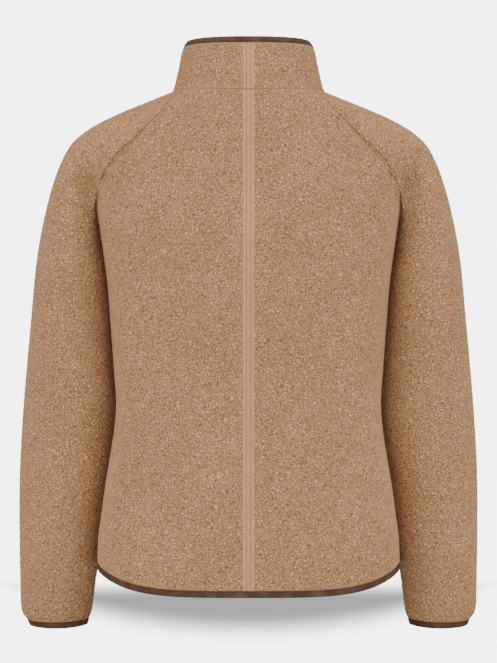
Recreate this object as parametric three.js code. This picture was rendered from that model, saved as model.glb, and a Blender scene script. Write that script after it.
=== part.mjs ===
// A sherpa fleece pullover, filled out as if worn, with nobody in it. It is built from the pieces that a maker cuts
// and sews: two back panels that meet at the centre back, one front panel, two raglan sleeves, a stand-up collar and
// a bound edge at the collar, the hem and both cuffs.
//
// Millimetres. +Z is up, +Y is the wearer's back and +X the wearer's left. The origin is the middle of the neckline,
// at the height of the collar seam at the centre back, where the pullover hangs on its wearer.
import * as THREE from "three";
import { mergeVertices } from "three/addons/utils/BufferGeometryUtils.js";

// Cloth, seams and bound edges
const CLOTH = 4; // the pile cloth's thickness
const BOUND_CLOTH = 2; // the same cloth, pressed flat inside a binding
const SEAM_GAP = 0.3; // between two pieces that are sewn together
const PRESSED = { top: 1.4, reach: 0.3 }; // how far a binding presses the pile down, and how far past it
const BINDING = { height: 8, fold: 1.1, leg: 1, bevel: 0.9, clearance: 0.3 };
const CENTRE_SEAM = { stitch: 3, edge: 6, sunk: 0.7 }; // stitching each side of the centre back, and where pile starts

// How many strips each piece is divided into
const STRIPS = {
  body: 10, // rows between the hem and the armpit
  yoke: 13, // rows between the armpit and the neckline
  halfBack: 9,
  front: 18,
  neckEdge: 6, // the top of a sleeve, where it meets the collar
  cap: 9, // from the raglan seam to the upper arm
};
const CROWDING = 1.25; // strips are narrower towards the sides of the body and towards the armpit

// The body, from the hem up to the neckline. Each row is a rounded oblong seen from above. "hollow" is how far the
// arm presses the side in.
const BODY = [
  { height: -682.5, halfWidth: 211, back: 126, front: 122, square: 3, hollow: 2 },
  { height: -640, halfWidth: 210.5, back: 125, front: 122, square: 3, hollow: 4 },
  { height: -600, halfWidth: 206.5, back: 123, front: 122, square: 3, hollow: 6 },
  { height: -558, halfWidth: 201.8, back: 120, front: 121, square: 3, hollow: 7 },
  { height: -516, halfWidth: 196.3, back: 117, front: 120, square: 3, hollow: 8 },
  { height: -474, halfWidth: 190.6, back: 114, front: 119, square: 3, hollow: 8.5 },
  { height: -432, halfWidth: 187.6, back: 112, front: 119, square: 3, hollow: 9 },
  { height: -378, halfWidth: 191, back: 112, front: 120, square: 3, hollow: 9.5 },
  { height: -315, halfWidth: 195.6, back: 116, front: 123, square: 3, hollow: 10 },
  { height: -255, halfWidth: 200.5, back: 120, front: 125, square: 3, hollow: 11 },
  { height: -215, halfWidth: 206, back: 121, front: 124, square: 2.9, hollow: 10 },
  { height: -180, halfWidth: 210.5, back: 120, front: 122, square: 2.8, hollow: 7 },
  { height: -134, halfWidth: 215, back: 115, front: 115, square: 2.6, hollow: 2.5 },
  { height: -110, halfWidth: 221, back: 110, front: 109, square: 2.45, hollow: 1 },
  { height: -84, halfWidth: 226, back: 103, front: 101, square: 2.3, hollow: 0 },
  { height: -63, halfWidth: 226, back: 97, front: 94, square: 2.22, hollow: 0 },
  { height: -42, halfWidth: 212, back: 91, front: 88, square: 2.15, hollow: 0 },
  { height: -21, halfWidth: 166, back: 85, front: 83, square: 2.1, hollow: 0 },
  { height: -8, halfWidth: 129, back: 82, front: 80, square: 2.05, hollow: 0 },
  { height: 0, halfWidth: 108, back: 80, front: 78, square: 2.05, hollow: 0 },
];
const HOLLOW = { centre: -16, spread: 46 };
const HEM = { height: -682.5, sideLift: 28, frontLift: 12, flatness: 4, fades: -400 };
const NECK = { sideLift: 1.5, frontDrop: 30, fades: -120 };

// The raglan seams, as degrees round the body from the side seam, towards the back and towards the front.
const RAGLAN = [
  { height: -215, back: 0, front: 0 },
  { height: -205, back: 1.4, front: 2.2 },
  { height: -190, back: 3.1, front: 4.6 },
  { height: -170, back: 5.5, front: 7.6 },
  { height: -150, back: 8.8, front: 11.2 },
  { height: -134, back: 12.2, front: 14.4 },
  { height: -110, back: 19.2, front: 20.6 },
  { height: -84, back: 24, front: 25.4 },
  { height: -63, back: 27.4, front: 28.6 },
  { height: -42, back: 29.8, front: 31 },
  { height: -21, back: 30.5, front: 32 },
  { height: 0, back: 25.7, front: 30 },
];
const ARMPIT = -215;

// The arm, by height: how far out its inner and outer sides are, its middle from front to back, and half its depth.
const ARM = [
  { height: -743, inner: 228.5, outer: 309.5, y: -32, halfDepth: 41.5 },
  { height: -735, inner: 227, outer: 311.5, y: -32, halfDepth: 42.5 },
  { height: -727, inner: 223.8, outer: 317, y: -32, halfDepth: 46 },
  { height: -717, inner: 221.5, outer: 319.8, y: -32, halfDepth: 48.7 },
  { height: -694, inner: 217.8, outer: 321, y: -31.5, halfDepth: 51 },
  { height: -680, inner: 215.6, outer: 321.6, y: -31, halfDepth: 52.5 },
  { height: -642, inner: 210.5, outer: 322.3, y: -30, halfDepth: 55 },
  { height: -600, inner: 205, outer: 322.5, y: -29, halfDepth: 57 },
  { height: -558, inner: 199, outer: 322.2, y: -27, halfDepth: 59 },
  { height: -516, inner: 192.6, outer: 321, y: -25, halfDepth: 60.5 },
  { height: -474, inner: 187, outer: 318.5, y: -23, halfDepth: 62 },
  { height: -432, inner: 184, outer: 315.5, y: -20, halfDepth: 63.5 },
  { height: -378, inner: 186.5, outer: 311, y: -16, halfDepth: 65.5 },
  { height: -315, inner: 190.5, outer: 306, y: -11, halfDepth: 67 },
  { height: -255, inner: 195, outer: 300, y: -5, halfDepth: 66 },
];
const UPPER_ARM = -255;
const CUFF = -743;
// A loop round the shoulder, halfway between the raglan seam and the upper arm: its middle and half sizes.
const SHOULDER = { x: 225, y: 2, z: -133, lean: 19, halfDepth: 55, halfHeight: 70, pinch: 1.35 };
const SLOPE = { across: 0.95, down: 0.72, arriving: 0.75 }; // how the cloth runs over the shoulder's outer side
const CORNER = THREE.MathUtils.degToRad(118); // how far round the arm the raglan seam ends, counted from the armpit

// The collar, by height above its seam, as a share of the neckline's own size, and its top edge.
const COLLAR = [
  { rise: 0, size: 1 },
  { rise: 0.06, size: 0.972 },
  { rise: 0.17, size: 0.945 },
  { rise: 0.35, size: 0.912 },
  { rise: 0.6, size: 0.872 },
  { rise: 0.8, size: 0.843 },
  { rise: 1, size: 0.805 },
];
const COLLAR_DEPTH = 0.71; // how much of that narrowing the collar has from front to back
const COLLAR_TOP = { back: 70, sideLift: 2.5, frontDrop: 21 };

const COLOURS = { pile: 0xb08c6e, binding: 0x5c4335 };

// A smooth curve through one column of a table, in order of another column.
function curve(table, key, column) {
  const rows = [...table].sort((a, b) => a[key] - b[key]);
  const steps = rows.slice(1).map((row, i) => row[key] - rows[i][key]);
  const slopes = rows.slice(1).map((row, i) => (row[column] - rows[i][column]) / steps[i]);
  const tangents = rows.map((_, i) => {
    if (i === 0) return slopes[0];
    if (i === rows.length - 1) return slopes[i - 1];
    return (slopes[i - 1] * steps[i] + slopes[i] * steps[i - 1]) / (steps[i - 1] + steps[i]);
  });
  return (at) => {
    const x = THREE.MathUtils.clamp(at, rows[0][key], rows.at(-1)[key]);
    const i = Math.min(Math.max(rows.findLastIndex((row) => row[key] <= x), 0), steps.length - 1);
    const t = (x - rows[i][key]) / steps[i];
    return hermite(rows[i][column], tangents[i] * steps[i], rows[i + 1][column], tangents[i + 1] * steps[i], t);
  };
}

function hermite(from, leaving, to, arriving, t) {
  const [t2, t3] = [t * t, t * t * t];
  return (
    (2 * t3 - 3 * t2 + 1) * from + (t3 - 2 * t2 + t) * leaving + (3 * t2 - 2 * t3) * to + (t3 - t2) * arriving
  );
}

function hermitePoint(from, leaving, to, arriving, t) {
  const at = (axis) => hermite(from[axis], leaving[axis], to[axis], arriving[axis], t);
  return new THREE.Vector3(at("x"), at("y"), at("z"));
}

const columns = (table, key, names) => Object.fromEntries(names.map((name) => [name, curve(table, key, name)]));
const body = columns(BODY, "height", ["halfWidth", "back", "front", "square", "hollow"]);
const raglan = columns(RAGLAN, "height", ["back", "front"]);
const arm = columns(ARM, "height", ["inner", "outer", "y", "halfDepth"]);
const collarSize = curve(COLLAR, "rise", "size");

const fade = (from, to, at) => THREE.MathUtils.smoothstep(at, Math.min(from, to), Math.max(from, to));

// How far the neckline lies above or below the centre back: up at the sides, down at the front.
function neckLift(angle, sideLift, frontDrop) {
  const forward = (1 - Math.sin(angle)) / 2; // 0 at the centre back, 1 at the centre front
  return sideLift * Math.sin(Math.PI * forward) - frontDrop * forward ** 4;
}

// A point on the outside of the body, at a height and an angle round it: 0 is the wearer's left, 90 degrees the back.
function bodyPoint(height, angle) {
  const [cos, sin] = [Math.cos(angle), Math.sin(angle)];
  const square = body.square(height);
  const depth = sin > 0 ? body.back(height) : body.front(height);
  const reach =
    (Math.abs(cos / body.halfWidth(height)) ** square + Math.abs(sin / depth) ** square) ** (-1 / square);
  const y = reach * sin;
  const pressed = body.hollow(height) * Math.exp(-(((y - HOLLOW.centre) / HOLLOW.spread) ** 2));
  const x = reach * cos - Math.sign(cos) * pressed * Math.min(1, 2 * Math.abs(cos));
  const hemShare = 1 - fade(HEM.height, HEM.fades, height);
  const forward = (1 - sin) / 2;
  const hemLift =
    HEM.sideLift * Math.abs(x / body.halfWidth(height)) ** HEM.flatness + HEM.frontLift * forward ** 2 * (1 - cos ** 2);
  const neckShare = Math.max(0, 1 - height / NECK.fades) ** 2;
  const z = height + hemShare * hemLift + neckShare * neckLift(angle, NECK.sideLift, NECK.frontDrop);
  return new THREE.Vector3(x, y, z);
}

// The outward normal and the directions round and up the body, from points a little apart.
function bodyFrame(height, angle) {
  const [turn, climb] = [0.004, 0.5];
  const low = Math.max(height - climb, HEM.height);
  const high = Math.min(height + climb, 0);
  const round = bodyPoint(height, angle + turn).sub(bodyPoint(height, angle - turn)).normalize();
  const up = bodyPoint(high, angle).sub(bodyPoint(low, angle)).normalize();
  return { round, up, normal: round.clone().cross(up).normalize() };
}

// The angle of a raglan seam at a height, on the wearer's left: side is +1 for the back and -1 for the front.
const seamAngle = (height, side) =>
  side * THREE.MathUtils.degToRad(height < ARMPIT ? 0 : side > 0 ? raglan.back(height) : raglan.front(height));

const crowded = (share) => share ** CROWDING;
const yokeShares = Array.from({ length: STRIPS.yoke + 1 }, (_, i) => crowded(i / STRIPS.yoke));

// Heights along a raglan seam, at shares of its length from the armpit to the neckline.
function seamHeights(side) {
  const samples = 240;
  const heights = Array.from({ length: samples + 1 }, (_, i) => ARMPIT * (1 - i / samples) ** 1.5);
  const points = heights.map((height) => bodyPoint(height, seamAngle(height, side)));
  const run = [0];
  points.slice(1).forEach((point, i) => run.push(run[i] + point.distanceTo(points[i])));
  return yokeShares.map((share) => {
    const wanted = share * run.at(-1);
    const i = Math.min(Math.max(run.findLastIndex((length) => length <= wanted), 0), samples - 1);
    return THREE.MathUtils.lerp(heights[i], heights[i + 1], (wanted - run[i]) / (run[i + 1] - run[i]));
  });
}

// The loop that a sleeve is sewn along: up the back seam, over the neckline and down the front seam. Each station
// has the body's height and angle there, how far round the arm it is, and the direction away from the armhole's edge.
function sleeveLoop() {
  const seam = (side) =>
    seamHeights(side).map((height, i) => ({
      height,
      angle: seamAngle(height, side),
      round: side > 0 ? CORNER * yokeShares[i] : 2 * Math.PI - CORNER * yokeShares[i],
      side,
      share: yokeShares[i],
    }));
  const [backSeam, frontSeam] = [seam(1), seam(-1)];
  const [from, to] = [backSeam.at(-1), frontSeam.at(-1)];
  const neckEdge = Array.from({ length: STRIPS.neckEdge - 1 }, (_, i) => {
    const share = (i + 1) / STRIPS.neckEdge;
    return {
      height: 0,
      angle: THREE.MathUtils.lerp(from.angle, to.angle, share),
      round: THREE.MathUtils.lerp(from.round, to.round, share),
      side: 0,
      share: 1,
    };
  });
  return [...backSeam, ...neckEdge, ...frontSeam.reverse().slice(0, -1)];
}

// Where the cloth's wall stands at the neckline: halfway between the body's slope and the collar, made longer there
// so that both keep their thickness.
function neckWall(angle) {
  const slope = bodyFrame(0, angle).normal;
  const collar = collarFrame(0, angle).normal;
  const middle = slope.clone().add(collar).normalize();
  return { normal: middle, thickness: CLOTH / middle.dot(slope) };
}

// A station of the sleeve's own edge: its point, the wall's direction, and the way that the cloth leaves the seam.
function sleeveStart({ height, angle, side, share }) {
  const { round, up, normal } = bodyFrame(height, angle);
  const point = bodyPoint(height, angle);
  const outward = round.clone().multiplyScalar(side < 0 ? 1 : -1);
  const tilt = (Math.PI / 2) * Math.cos(Math.PI * share);
  const leaving = side === 0 ? up.clone().negate() : outward.multiplyScalar(Math.cos(tilt));
  if (side !== 0) leaving.addScaledVector(up, Math.sin(tilt)).normalize();
  if (share === 0) leaving.copy(up);
  const gap = side === 0 ? leaving.clone() : seamSide(height, side).negate();
  if (share === 1 && side !== 0) gap.sub(up);
  const wall = height === 0 ? neckWall(angle) : { normal, thickness: CLOTH };
  return { point: point.addScaledVector(gap, SEAM_GAP / 2), leaving, ...wall };
}

// The direction in the cloth, square to a raglan seam, that points into the body panel.
function seamSide(height, side) {
  const step = 0.5;
  const [low, high] = [Math.max(height - step, ARMPIT), Math.min(height + step, 0)];
  const { normal, up } = bodyFrame(height, seamAngle(height, side));
  if (height <= ARMPIT) return up.clone().negate();
  const along = bodyPoint(high, seamAngle(high, side)).sub(bodyPoint(low, seamAngle(low, side))).normalize();
  return along.cross(normal).multiplyScalar(side).normalize();
}

// A point on a ring of the arm. "round" is the angle from the armpit, by way of the back.
function armPoint(height, round) {
  const across = (1 - Math.cos(round)) / 2;
  return new THREE.Vector3(
    THREE.MathUtils.lerp(arm.inner(height), arm.outer(height), across),
    arm.y(height) + arm.halfDepth(height) * Math.sin(round),
    height,
  );
}

function shoulderPoint(round) {
  const sin = Math.sin(round);
  const depth = Math.sign(sin) * Math.abs(sin) ** (Math.cos(round) > 0 ? SHOULDER.pinch : 1);
  return new THREE.Vector3(
    SHOULDER.x - SHOULDER.lean * Math.cos(round),
    SHOULDER.y + SHOULDER.halfDepth * depth,
    SHOULDER.z - SHOULDER.halfHeight * Math.cos(round),
  );
}

// The sleeve's cap: from the raglan loop over the shoulder to the upper arm. Near the armpit the cloth only folds
// over, so the shoulder's loop counts for less there.
function capPoint(start, round, share) {
  const end = armPoint(UPPER_ARM, round);
  const arriving = armPoint(UPPER_ARM - 1, round).sub(end).normalize();
  const direct = start.point.distanceTo(end);
  const leave = (length) => start.leaving.clone().multiplyScalar(length);
  const arrive = (length) => arriving.clone().multiplyScalar(length);
  const plain = (t) => hermitePoint(start.point, leave(0.9 * direct), end, arrive(0.9 * direct), t);
  const fold = Math.min(round, 2 * Math.PI - round);
  const weight = fade(THREE.MathUtils.degToRad(15), THREE.MathUtils.degToRad(60), fold);
  const middle = plain(0.5).lerp(shoulderPoint(round), weight);
  const outside = ((1 - Math.cos(round)) / 2) ** 3;
  const slope = (share) => THREE.MathUtils.lerp(1, share, outside);
  const passing = end.clone().sub(start.point).multiplyScalar(0.5);
  passing.multiply(new THREE.Vector3(slope(SLOPE.across), 1, slope(SLOPE.down)));
  const plainPassing = plain(0.52).sub(plain(0.48)).multiplyScalar(0.5 / 0.04);
  passing.lerpVectors(plainPassing, passing, weight);
  const [before, after] = [start.point.distanceTo(middle), middle.distanceTo(end)];
  const easing = THREE.MathUtils.lerp(0.9 * direct * 0.5, 1, weight);
  const scale = (length) => THREE.MathUtils.lerp(easing, length, weight);
  return share < 0.5
    ? hermitePoint(start.point, leave(scale(before)), middle, passing, 2 * share)
    : hermitePoint(middle, passing, end, arrive(scale(after) * slope(SLOPE.arriving)), 2 * share - 1);
}

// The collar's outside, at a share of the way up and an angle round it.
function collarPoint(rise, angle) {
  const [cos, sin] = [Math.cos(angle), Math.sin(angle)];
  const foot = bodyPoint(0, angle);
  const size = collarSize(rise);
  const top = COLLAR_TOP.back + neckLift(angle, COLLAR_TOP.sideLift, COLLAR_TOP.frontDrop);
  const depth = THREE.MathUtils.lerp(1, size, COLLAR_DEPTH);
  const share = cos * cos * size + sin * sin * depth;
  return new THREE.Vector3(foot.x * share, foot.y * share, THREE.MathUtils.lerp(foot.z, top, rise));
}

function collarFrame(rise, angle) {
  const [turn, climb] = [0.004, 0.01];
  const [low, high] = [Math.max(rise - climb, 0), Math.min(rise + climb, 1)];
  const round = collarPoint(rise, angle + turn).sub(collarPoint(rise, angle - turn)).normalize();
  const up = collarPoint(high, angle).sub(collarPoint(low, angle)).normalize();
  return { round, up, normal: round.clone().cross(up).normalize() };
}

// A closed wall of cloth from a grid of rows. Each corner has its outer point, its normal and its thickness, and
// "sunk" lowers only the outer face. Rows run anticlockwise as seen from outside, from the bottom up.
function clothWall(rows, closedRound) {
  const width = rows[0].length;
  const outer = rows.flat().map(({ point, normal, sunk = 0 }) => point.clone().addScaledVector(normal, -sunk));
  const inner = rows.flat().map(({ point, normal, thickness }) => point.clone().addScaledVector(normal, -thickness));
  const points = [...outer, ...inner];
  const faces = [];
  const quad = (a, b, c, d) => faces.push(a, b, c, a, c, d);
  const inside = outer.length;
  const lastColumn = closedRound ? width : width - 1;
  for (let row = 0; row < rows.length - 1; row++) {
    for (let column = 0; column < lastColumn; column++) {
      const [a, b] = [row * width + column, row * width + ((column + 1) % width)];
      const [c, d] = [b + width, a + width];
      const cell = points[a].distanceTo(points[c]) > points[b].distanceTo(points[d]) ? [b, c, d, a] : [a, b, c, d];
      quad(...cell);
      const [p, q, r, s] = cell.map((corner) => inside + corner);
      quad(p, s, r, q);
    }
  }
  for (let column = 0; column < lastColumn; column++) {
    const [a, b] = [column, (column + 1) % width];
    const top = (rows.length - 1) * width;
    quad(a, inside + a, inside + b, b);
    quad(top + a, top + b, inside + top + b, inside + top + a);
  }
  for (let row = 0; row < rows.length - 1 && !closedRound; row++) {
    const [left, right] = [row * width, row * width + width - 1];
    quad(inside + left, left, left + width, inside + left + width);
    quad(right, inside + right, inside + right + width, right + width);
  }
  return solid(points, faces);
}

function solid(points, faces) {
  const geometry = new THREE.BufferGeometry().setFromPoints(points);
  geometry.setIndex(faces);
  const merged = mergeVertices(geometry, 1e-4);
  merged.computeVertexNormals();
  return merged;
}

// How the cloth is pressed towards a bound edge: distances in from the edge, and how much of the pile is left.
const boundRows = [
  { inset: 0, pressed: 1 },
  { inset: BINDING.height + PRESSED.reach, pressed: 1 },
  { inset: BINDING.height + PRESSED.reach + 1.2, pressed: 0 },
];
const pressedWall = (pressed) => ({
  sunk: PRESSED.top * pressed,
  thickness: CLOTH - (CLOTH - BOUND_CLOTH - PRESSED.top) * pressed,
});

// The heights of a body panel's rows, from the hem up to the armpit.
function bodyRows() {
  const rows = boundRows.map(({ inset, pressed }) => ({ height: HEM.height + inset, pressed }));
  const start = rows.at(-1).height;
  for (let i = 1; i < STRIPS.body; i++) {
    rows.push({ height: THREE.MathUtils.lerp(start, ARMPIT, i / STRIPS.body), pressed: 0 });
  }
  return rows;
}

// One row of the back or front, between two angles, drawn back from its seams by half a gap.
function panelCorner({ height, pressed = 0 }, angle) {
  const wall = height === 0 ? neckWall(angle) : { normal: bodyFrame(height, angle).normal, thickness: CLOTH };
  const shape = { point: bodyPoint(height, angle), ...wall };
  if (pressed) Object.assign(shape, pressedWall(pressed));
  if (height === 0) shape.point.addScaledVector(bodyFrame(0, angle).up, -SEAM_GAP / 2);
  return shape;
}

// Moves a panel's own edge back from a side or raglan seam. "mirror" is -1 on the wearer's right.
function drawnBack(corner, height, side, mirror) {
  const into = height <= ARMPIT ? new THREE.Vector3(0, side, 0) : seamSide(height, side);
  if (height === ARMPIT) into.add(seamSide(height, side));
  into.x *= mirror;
  corner.point.addScaledVector(into, SEAM_GAP / 2);
  return corner;
}

// Rows of the body on one side of the side seams: side is +1 for the back. The yoke's rows start at the armpit.
function panelRows(side) {
  const yoke = seamHeights(side).map((height) => ({ height, pressed: 0 }));
  yoke[0].height = ARMPIT;
  yoke[yoke.length - 1].height = 0;
  return [...bodyRows(), ...yoke];
}

// The angles of the left back's columns at a height, from the centre seam round to the side.
function backAngles(height) {
  const near = [SEAM_GAP / 2, CENTRE_SEAM.stitch, CENTRE_SEAM.edge].map(
    (across) => Math.PI / 2 - Math.asin(across / body.back(height)),
  );
  const edge = seamAngle(height, 1);
  const far = Array.from({ length: STRIPS.halfBack }, (_, i) =>
    THREE.MathUtils.lerp(edge, near.at(-1), crowded(1 - (i + 1) / STRIPS.halfBack)),
  );
  return [...near, ...far];
}

// The angles of the front's columns at a height, from the wearer's right round to the left.
function frontAngles(height) {
  const edge = seamAngle(height, -1);
  const half = STRIPS.front / 2;
  const left = Array.from({ length: half + 1 }, (_, i) =>
    THREE.MathUtils.lerp(edge, -Math.PI / 2, crowded((half - i) / half)),
  );
  return [...left.slice(1).reverse().map((angle) => -Math.PI - angle), ...left];
}

const mirrored = (angle) => Math.PI - angle;

// One half of the back, with the two lines of stitching sunk in beside the centre seam.
function halfBack(mirror) {
  const rows = panelRows(1).map((row) => {
    const corners = backAngles(row.height).map((angle, column) => {
      const corner = panelCorner(row, mirror > 0 ? angle : mirrored(angle));
      if (column < 2 && !row.pressed) corner.sunk = CENTRE_SEAM.sunk;
      return corner;
    });
    drawnBack(corners.at(-1), row.height, 1, mirror);
    return mirror > 0 ? corners.reverse() : corners;
  });
  return clothWall(rows, false);
}

function frontPanel() {
  const rows = panelRows(-1).map((row) => {
    const corners = frontAngles(row.height).map((angle) => panelCorner(row, angle));
    drawnBack(corners[0], row.height, -1, -1);
    drawnBack(corners.at(-1), row.height, -1, 1);
    return corners;
  });
  return clothWall(rows, false);
}

// The grid of a sleeve on the wearer's left, from the raglan seam down to the cuff.
function sleeveGrid() {
  const loop = sleeveLoop();
  const starts = loop.map((station) => sleeveStart(station));
  const capShares = Array.from({ length: STRIPS.cap }, (_, i) => (i + 1) / STRIPS.cap);
  const bound = boundRows.map(({ inset, pressed }) => ({ height: CUFF + inset, pressed })).reverse();
  const armRows = ARM.map(({ height }) => ({ height, pressed: 0 }))
    .filter(({ height }) => height < UPPER_ARM && height > bound[0].height)
    .reverse();
  const first = starts.map((start) => ({ point: start.point, pressed: 0 }));
  const cap = capShares.map((share) =>
    loop.map((station, i) => ({ point: capPoint(starts[i], station.round, share), pressed: 0 })),
  );
  const below = [...armRows, ...bound].map(({ height, pressed }) =>
    loop.map((station) => ({ point: armPoint(height, station.round), pressed })),
  );
  const grid = [first, ...cap, ...below];
  return grid.map((ring, row) =>
    ring.map((corner, column) => {
      if (row === 0) return { ...corner, normal: starts[column].normal, thickness: starts[column].thickness };
      return { ...corner, normal: gridNormal(grid, row, column), thickness: CLOTH, ...boundShape(corner.pressed) };
    }),
  );
}

const boundShape = (pressed) => (pressed ? pressedWall(pressed) : {});

// The outward normal at a corner of a grid of closed rings that runs down from the shoulder.
function gridNormal(grid, row, column) {
  const ring = grid[row];
  const at = (r, c) => grid[r][(c + ring.length) % ring.length].point;
  const down = at(Math.min(row + 1, grid.length - 1), column).clone().sub(at(Math.max(row - 1, 0), column));
  const round = at(row, column + 1).clone().sub(at(row, column - 1));
  return round.cross(down).normalize();
}

function sleeve(mirror) {
  const grid = sleeveGrid();
  // The grid runs down and round by way of the back: turned upside down, its rings run clockwise from outside.
  const rows = grid.reverse().map((ring) => {
    const corners = ring.map(({ point, normal, ...rest }) => ({
      point: point.clone().setX(mirror * point.x),
      normal: normal.clone().setX(mirror * normal.x),
      ...rest,
    }));
    return mirror > 0 ? corners.reverse() : corners;
  });
  return clothWall(rows, true);
}

// The angles round the neckline at which the pieces below the collar have their corners, from the wearer's left of
// the centre back, by way of the left side and the front, to the other end of the seam.
function necklineAngles() {
  const left = backAngles(0);
  const [from, to] = [seamAngle(0, 1), seamAngle(0, -1)];
  const shoulder = Array.from({ length: STRIPS.neckEdge - 1 }, (_, i) =>
    THREE.MathUtils.lerp(from, to, (i + 1) / STRIPS.neckEdge),
  );
  const half = [...left, ...shoulder, ...frontAngles(0).reverse().slice(0, STRIPS.front / 2 + 1)];
  return [...half, ...half.slice(0, -1).reverse().map((angle) => -Math.PI - angle)];
}

// The collar is one band, cut open at the centre back, where its ends are sewn together.
function collar() {
  const insets = boundRows.map(({ inset, pressed }) => ({ rise: 1 - inset / COLLAR_TOP.back, pressed })).reverse();
  const rises = [{ rise: 0 }, { rise: 0.08 }, { rise: 0.24 }, { rise: 0.48 }, { rise: 0.7 }, ...insets];
  const angles = necklineAngles().reverse();
  const rows = rises.map(({ rise, pressed = 0 }) =>
    angles.map((angle, column) => {
      const { normal, up } = collarFrame(rise, angle);
      const shape = { point: collarPoint(rise, angle), normal, thickness: CLOTH };
      if (rise === 0) Object.assign(shape, neckWall(angle));
      if (rise === 0) shape.point.addScaledVector(up, SEAM_GAP / 2);
      if (pressed) Object.assign(shape, pressedWall(pressed));
      else if (Math.min(column, angles.length - 1 - column) < 2) shape.sunk = CENTRE_SEAM.sunk;
      return shape;
    }),
  );
  return clothWall(rows, false);
}

// The section of a folded binding round a bound edge: out from the cloth's face, and on past its cut edge.
function bindingSection() {
  const { height, fold, leg, bevel, clearance } = BINDING;
  const outer = -PRESSED.top + clearance;
  const inner = -PRESSED.top - BOUND_CLOTH - clearance;
  return [
    [outer + leg, -height],
    [outer + leg, clearance + fold - bevel],
    [outer + leg - bevel, clearance + fold],
    [inner - leg + bevel, clearance + fold],
    [inner - leg, clearance + fold - bevel],
    [inner - leg, -height],
    [inner, -height],
    [inner, clearance],
    [outer, clearance],
    [outer, -height],
  ];
}

// A binding swept round an edge. Each station has the edge's point, the cloth's normal and the way past the edge,
// and the stations run anticlockwise as seen from beyond the edge.
function binding(stations) {
  const section = bindingSection();
  const points = stations.flatMap(({ point, normal, past }) =>
    section.map(([out, on]) => point.clone().addScaledVector(normal, out).addScaledVector(past, on)),
  );
  const faces = [];
  const size = section.length;
  stations.forEach((_, i) => {
    const [here, next] = [i * size, ((i + 1) % stations.length) * size];
    section.forEach((__, j) => {
      const k = (j + 1) % size;
      faces.push(here + j, next + j, next + k, here + j, next + k, here + k);
    });
  });
  return solid(points, faces);
}

// The angles round an edge without the ones that only serve a seam: a binding runs across every seam.
const acrossSeams = (angles) => angles.filter((angle, i) => i === 0 || Math.abs(angle - angles[i - 1]) > 0.005);

function collarBinding() {
  const angles = acrossSeams(necklineAngles().slice(1, -1).reverse());
  return binding(
    angles.map((angle) => {
      const { normal, up } = collarFrame(1, angle);
      return { point: collarPoint(1, angle), normal, past: up };
    }),
  );
}

function hemBinding() {
  const left = backAngles(HEM.height).slice(1).reverse();
  const right = left.map(mirrored).reverse();
  const front = frontAngles(HEM.height)
    .slice(1, -1)
    .map((angle) => angle + 2 * Math.PI);
  const stations = [...left, ...right, ...front].map((angle) => {
    const { normal, up } = bodyFrame(HEM.height, angle);
    return { point: bodyPoint(HEM.height, angle), normal, past: up.negate() };
  });
  return binding(stations.reverse());
}

function cuffBinding(mirror) {
  const stations = sleeveLoop().map(({ round }) => {
    const point = armPoint(CUFF, round);
    const past = point.clone().sub(armPoint(CUFF + 1, round)).normalize();
    const along = armPoint(CUFF, round + 0.01).sub(armPoint(CUFF, round - 0.01));
    const normal = along.cross(past).normalize();
    [point, past, normal].forEach((vector) => (vector.x *= mirror));
    return { point, normal, past };
  });
  return binding(mirror > 0 ? stations : stations.reverse());
}

const pile = new THREE.MeshStandardMaterial({ color: COLOURS.pile, roughness: 0.95, metalness: 0 });
const tape = new THREE.MeshStandardMaterial({ color: COLOURS.binding, roughness: 0.7, metalness: 0 });

function piece(name, geometry, material) {
  const mesh = new THREE.Mesh(geometry, material);
  mesh.name = name;
  return mesh;
}

const pullover = new THREE.Group();
pullover.add(
  piece("back_left", halfBack(1), pile),
  piece("back_right", halfBack(-1), pile),
  piece("front", frontPanel(), pile),
  piece("sleeve_left", sleeve(1), pile),
  piece("sleeve_right", sleeve(-1), pile),
  piece("collar", collar(), pile),
  piece("collar_binding", collarBinding(), tape),
  piece("hem_binding", hemBinding(), tape),
  piece("cuff_binding_left", cuffBinding(1), tape),
  piece("cuff_binding_right", cuffBinding(-1), tape),
);

export default pullover;
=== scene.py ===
"""A sherpa fleece pullover seen from the wearer's back, filled out as if worn, with nobody in it.

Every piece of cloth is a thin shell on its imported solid's own form, at a finer grain: the same tables and
curves, with curly pile, pressed seams, a soft fold under each shoulder, and rounded and stitched bindings.

Lengths are millimetres until a mesh is made. +Z is up, +Y the wearer's back and +X the wearer's left. The
origin is the middle of the neckline.
"""

import logging
import math
from dataclasses import dataclass
from enum import Enum
from typing import Any, Callable, Iterable, Optional, Sequence

import bpy
import numpy as np
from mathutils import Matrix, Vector


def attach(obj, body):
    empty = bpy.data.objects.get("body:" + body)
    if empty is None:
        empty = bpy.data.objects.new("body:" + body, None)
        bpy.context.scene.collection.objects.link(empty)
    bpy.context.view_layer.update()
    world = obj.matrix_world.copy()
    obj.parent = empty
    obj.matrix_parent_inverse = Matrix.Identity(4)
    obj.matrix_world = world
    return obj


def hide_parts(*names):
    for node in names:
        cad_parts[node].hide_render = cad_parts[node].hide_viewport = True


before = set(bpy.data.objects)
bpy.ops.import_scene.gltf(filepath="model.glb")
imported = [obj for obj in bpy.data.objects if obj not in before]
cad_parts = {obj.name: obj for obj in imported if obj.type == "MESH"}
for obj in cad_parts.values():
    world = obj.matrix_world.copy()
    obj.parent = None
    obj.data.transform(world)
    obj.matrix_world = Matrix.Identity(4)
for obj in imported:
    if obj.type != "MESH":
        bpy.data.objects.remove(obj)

LOG = logging.getLogger("pullover")
MM = 0.001

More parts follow.
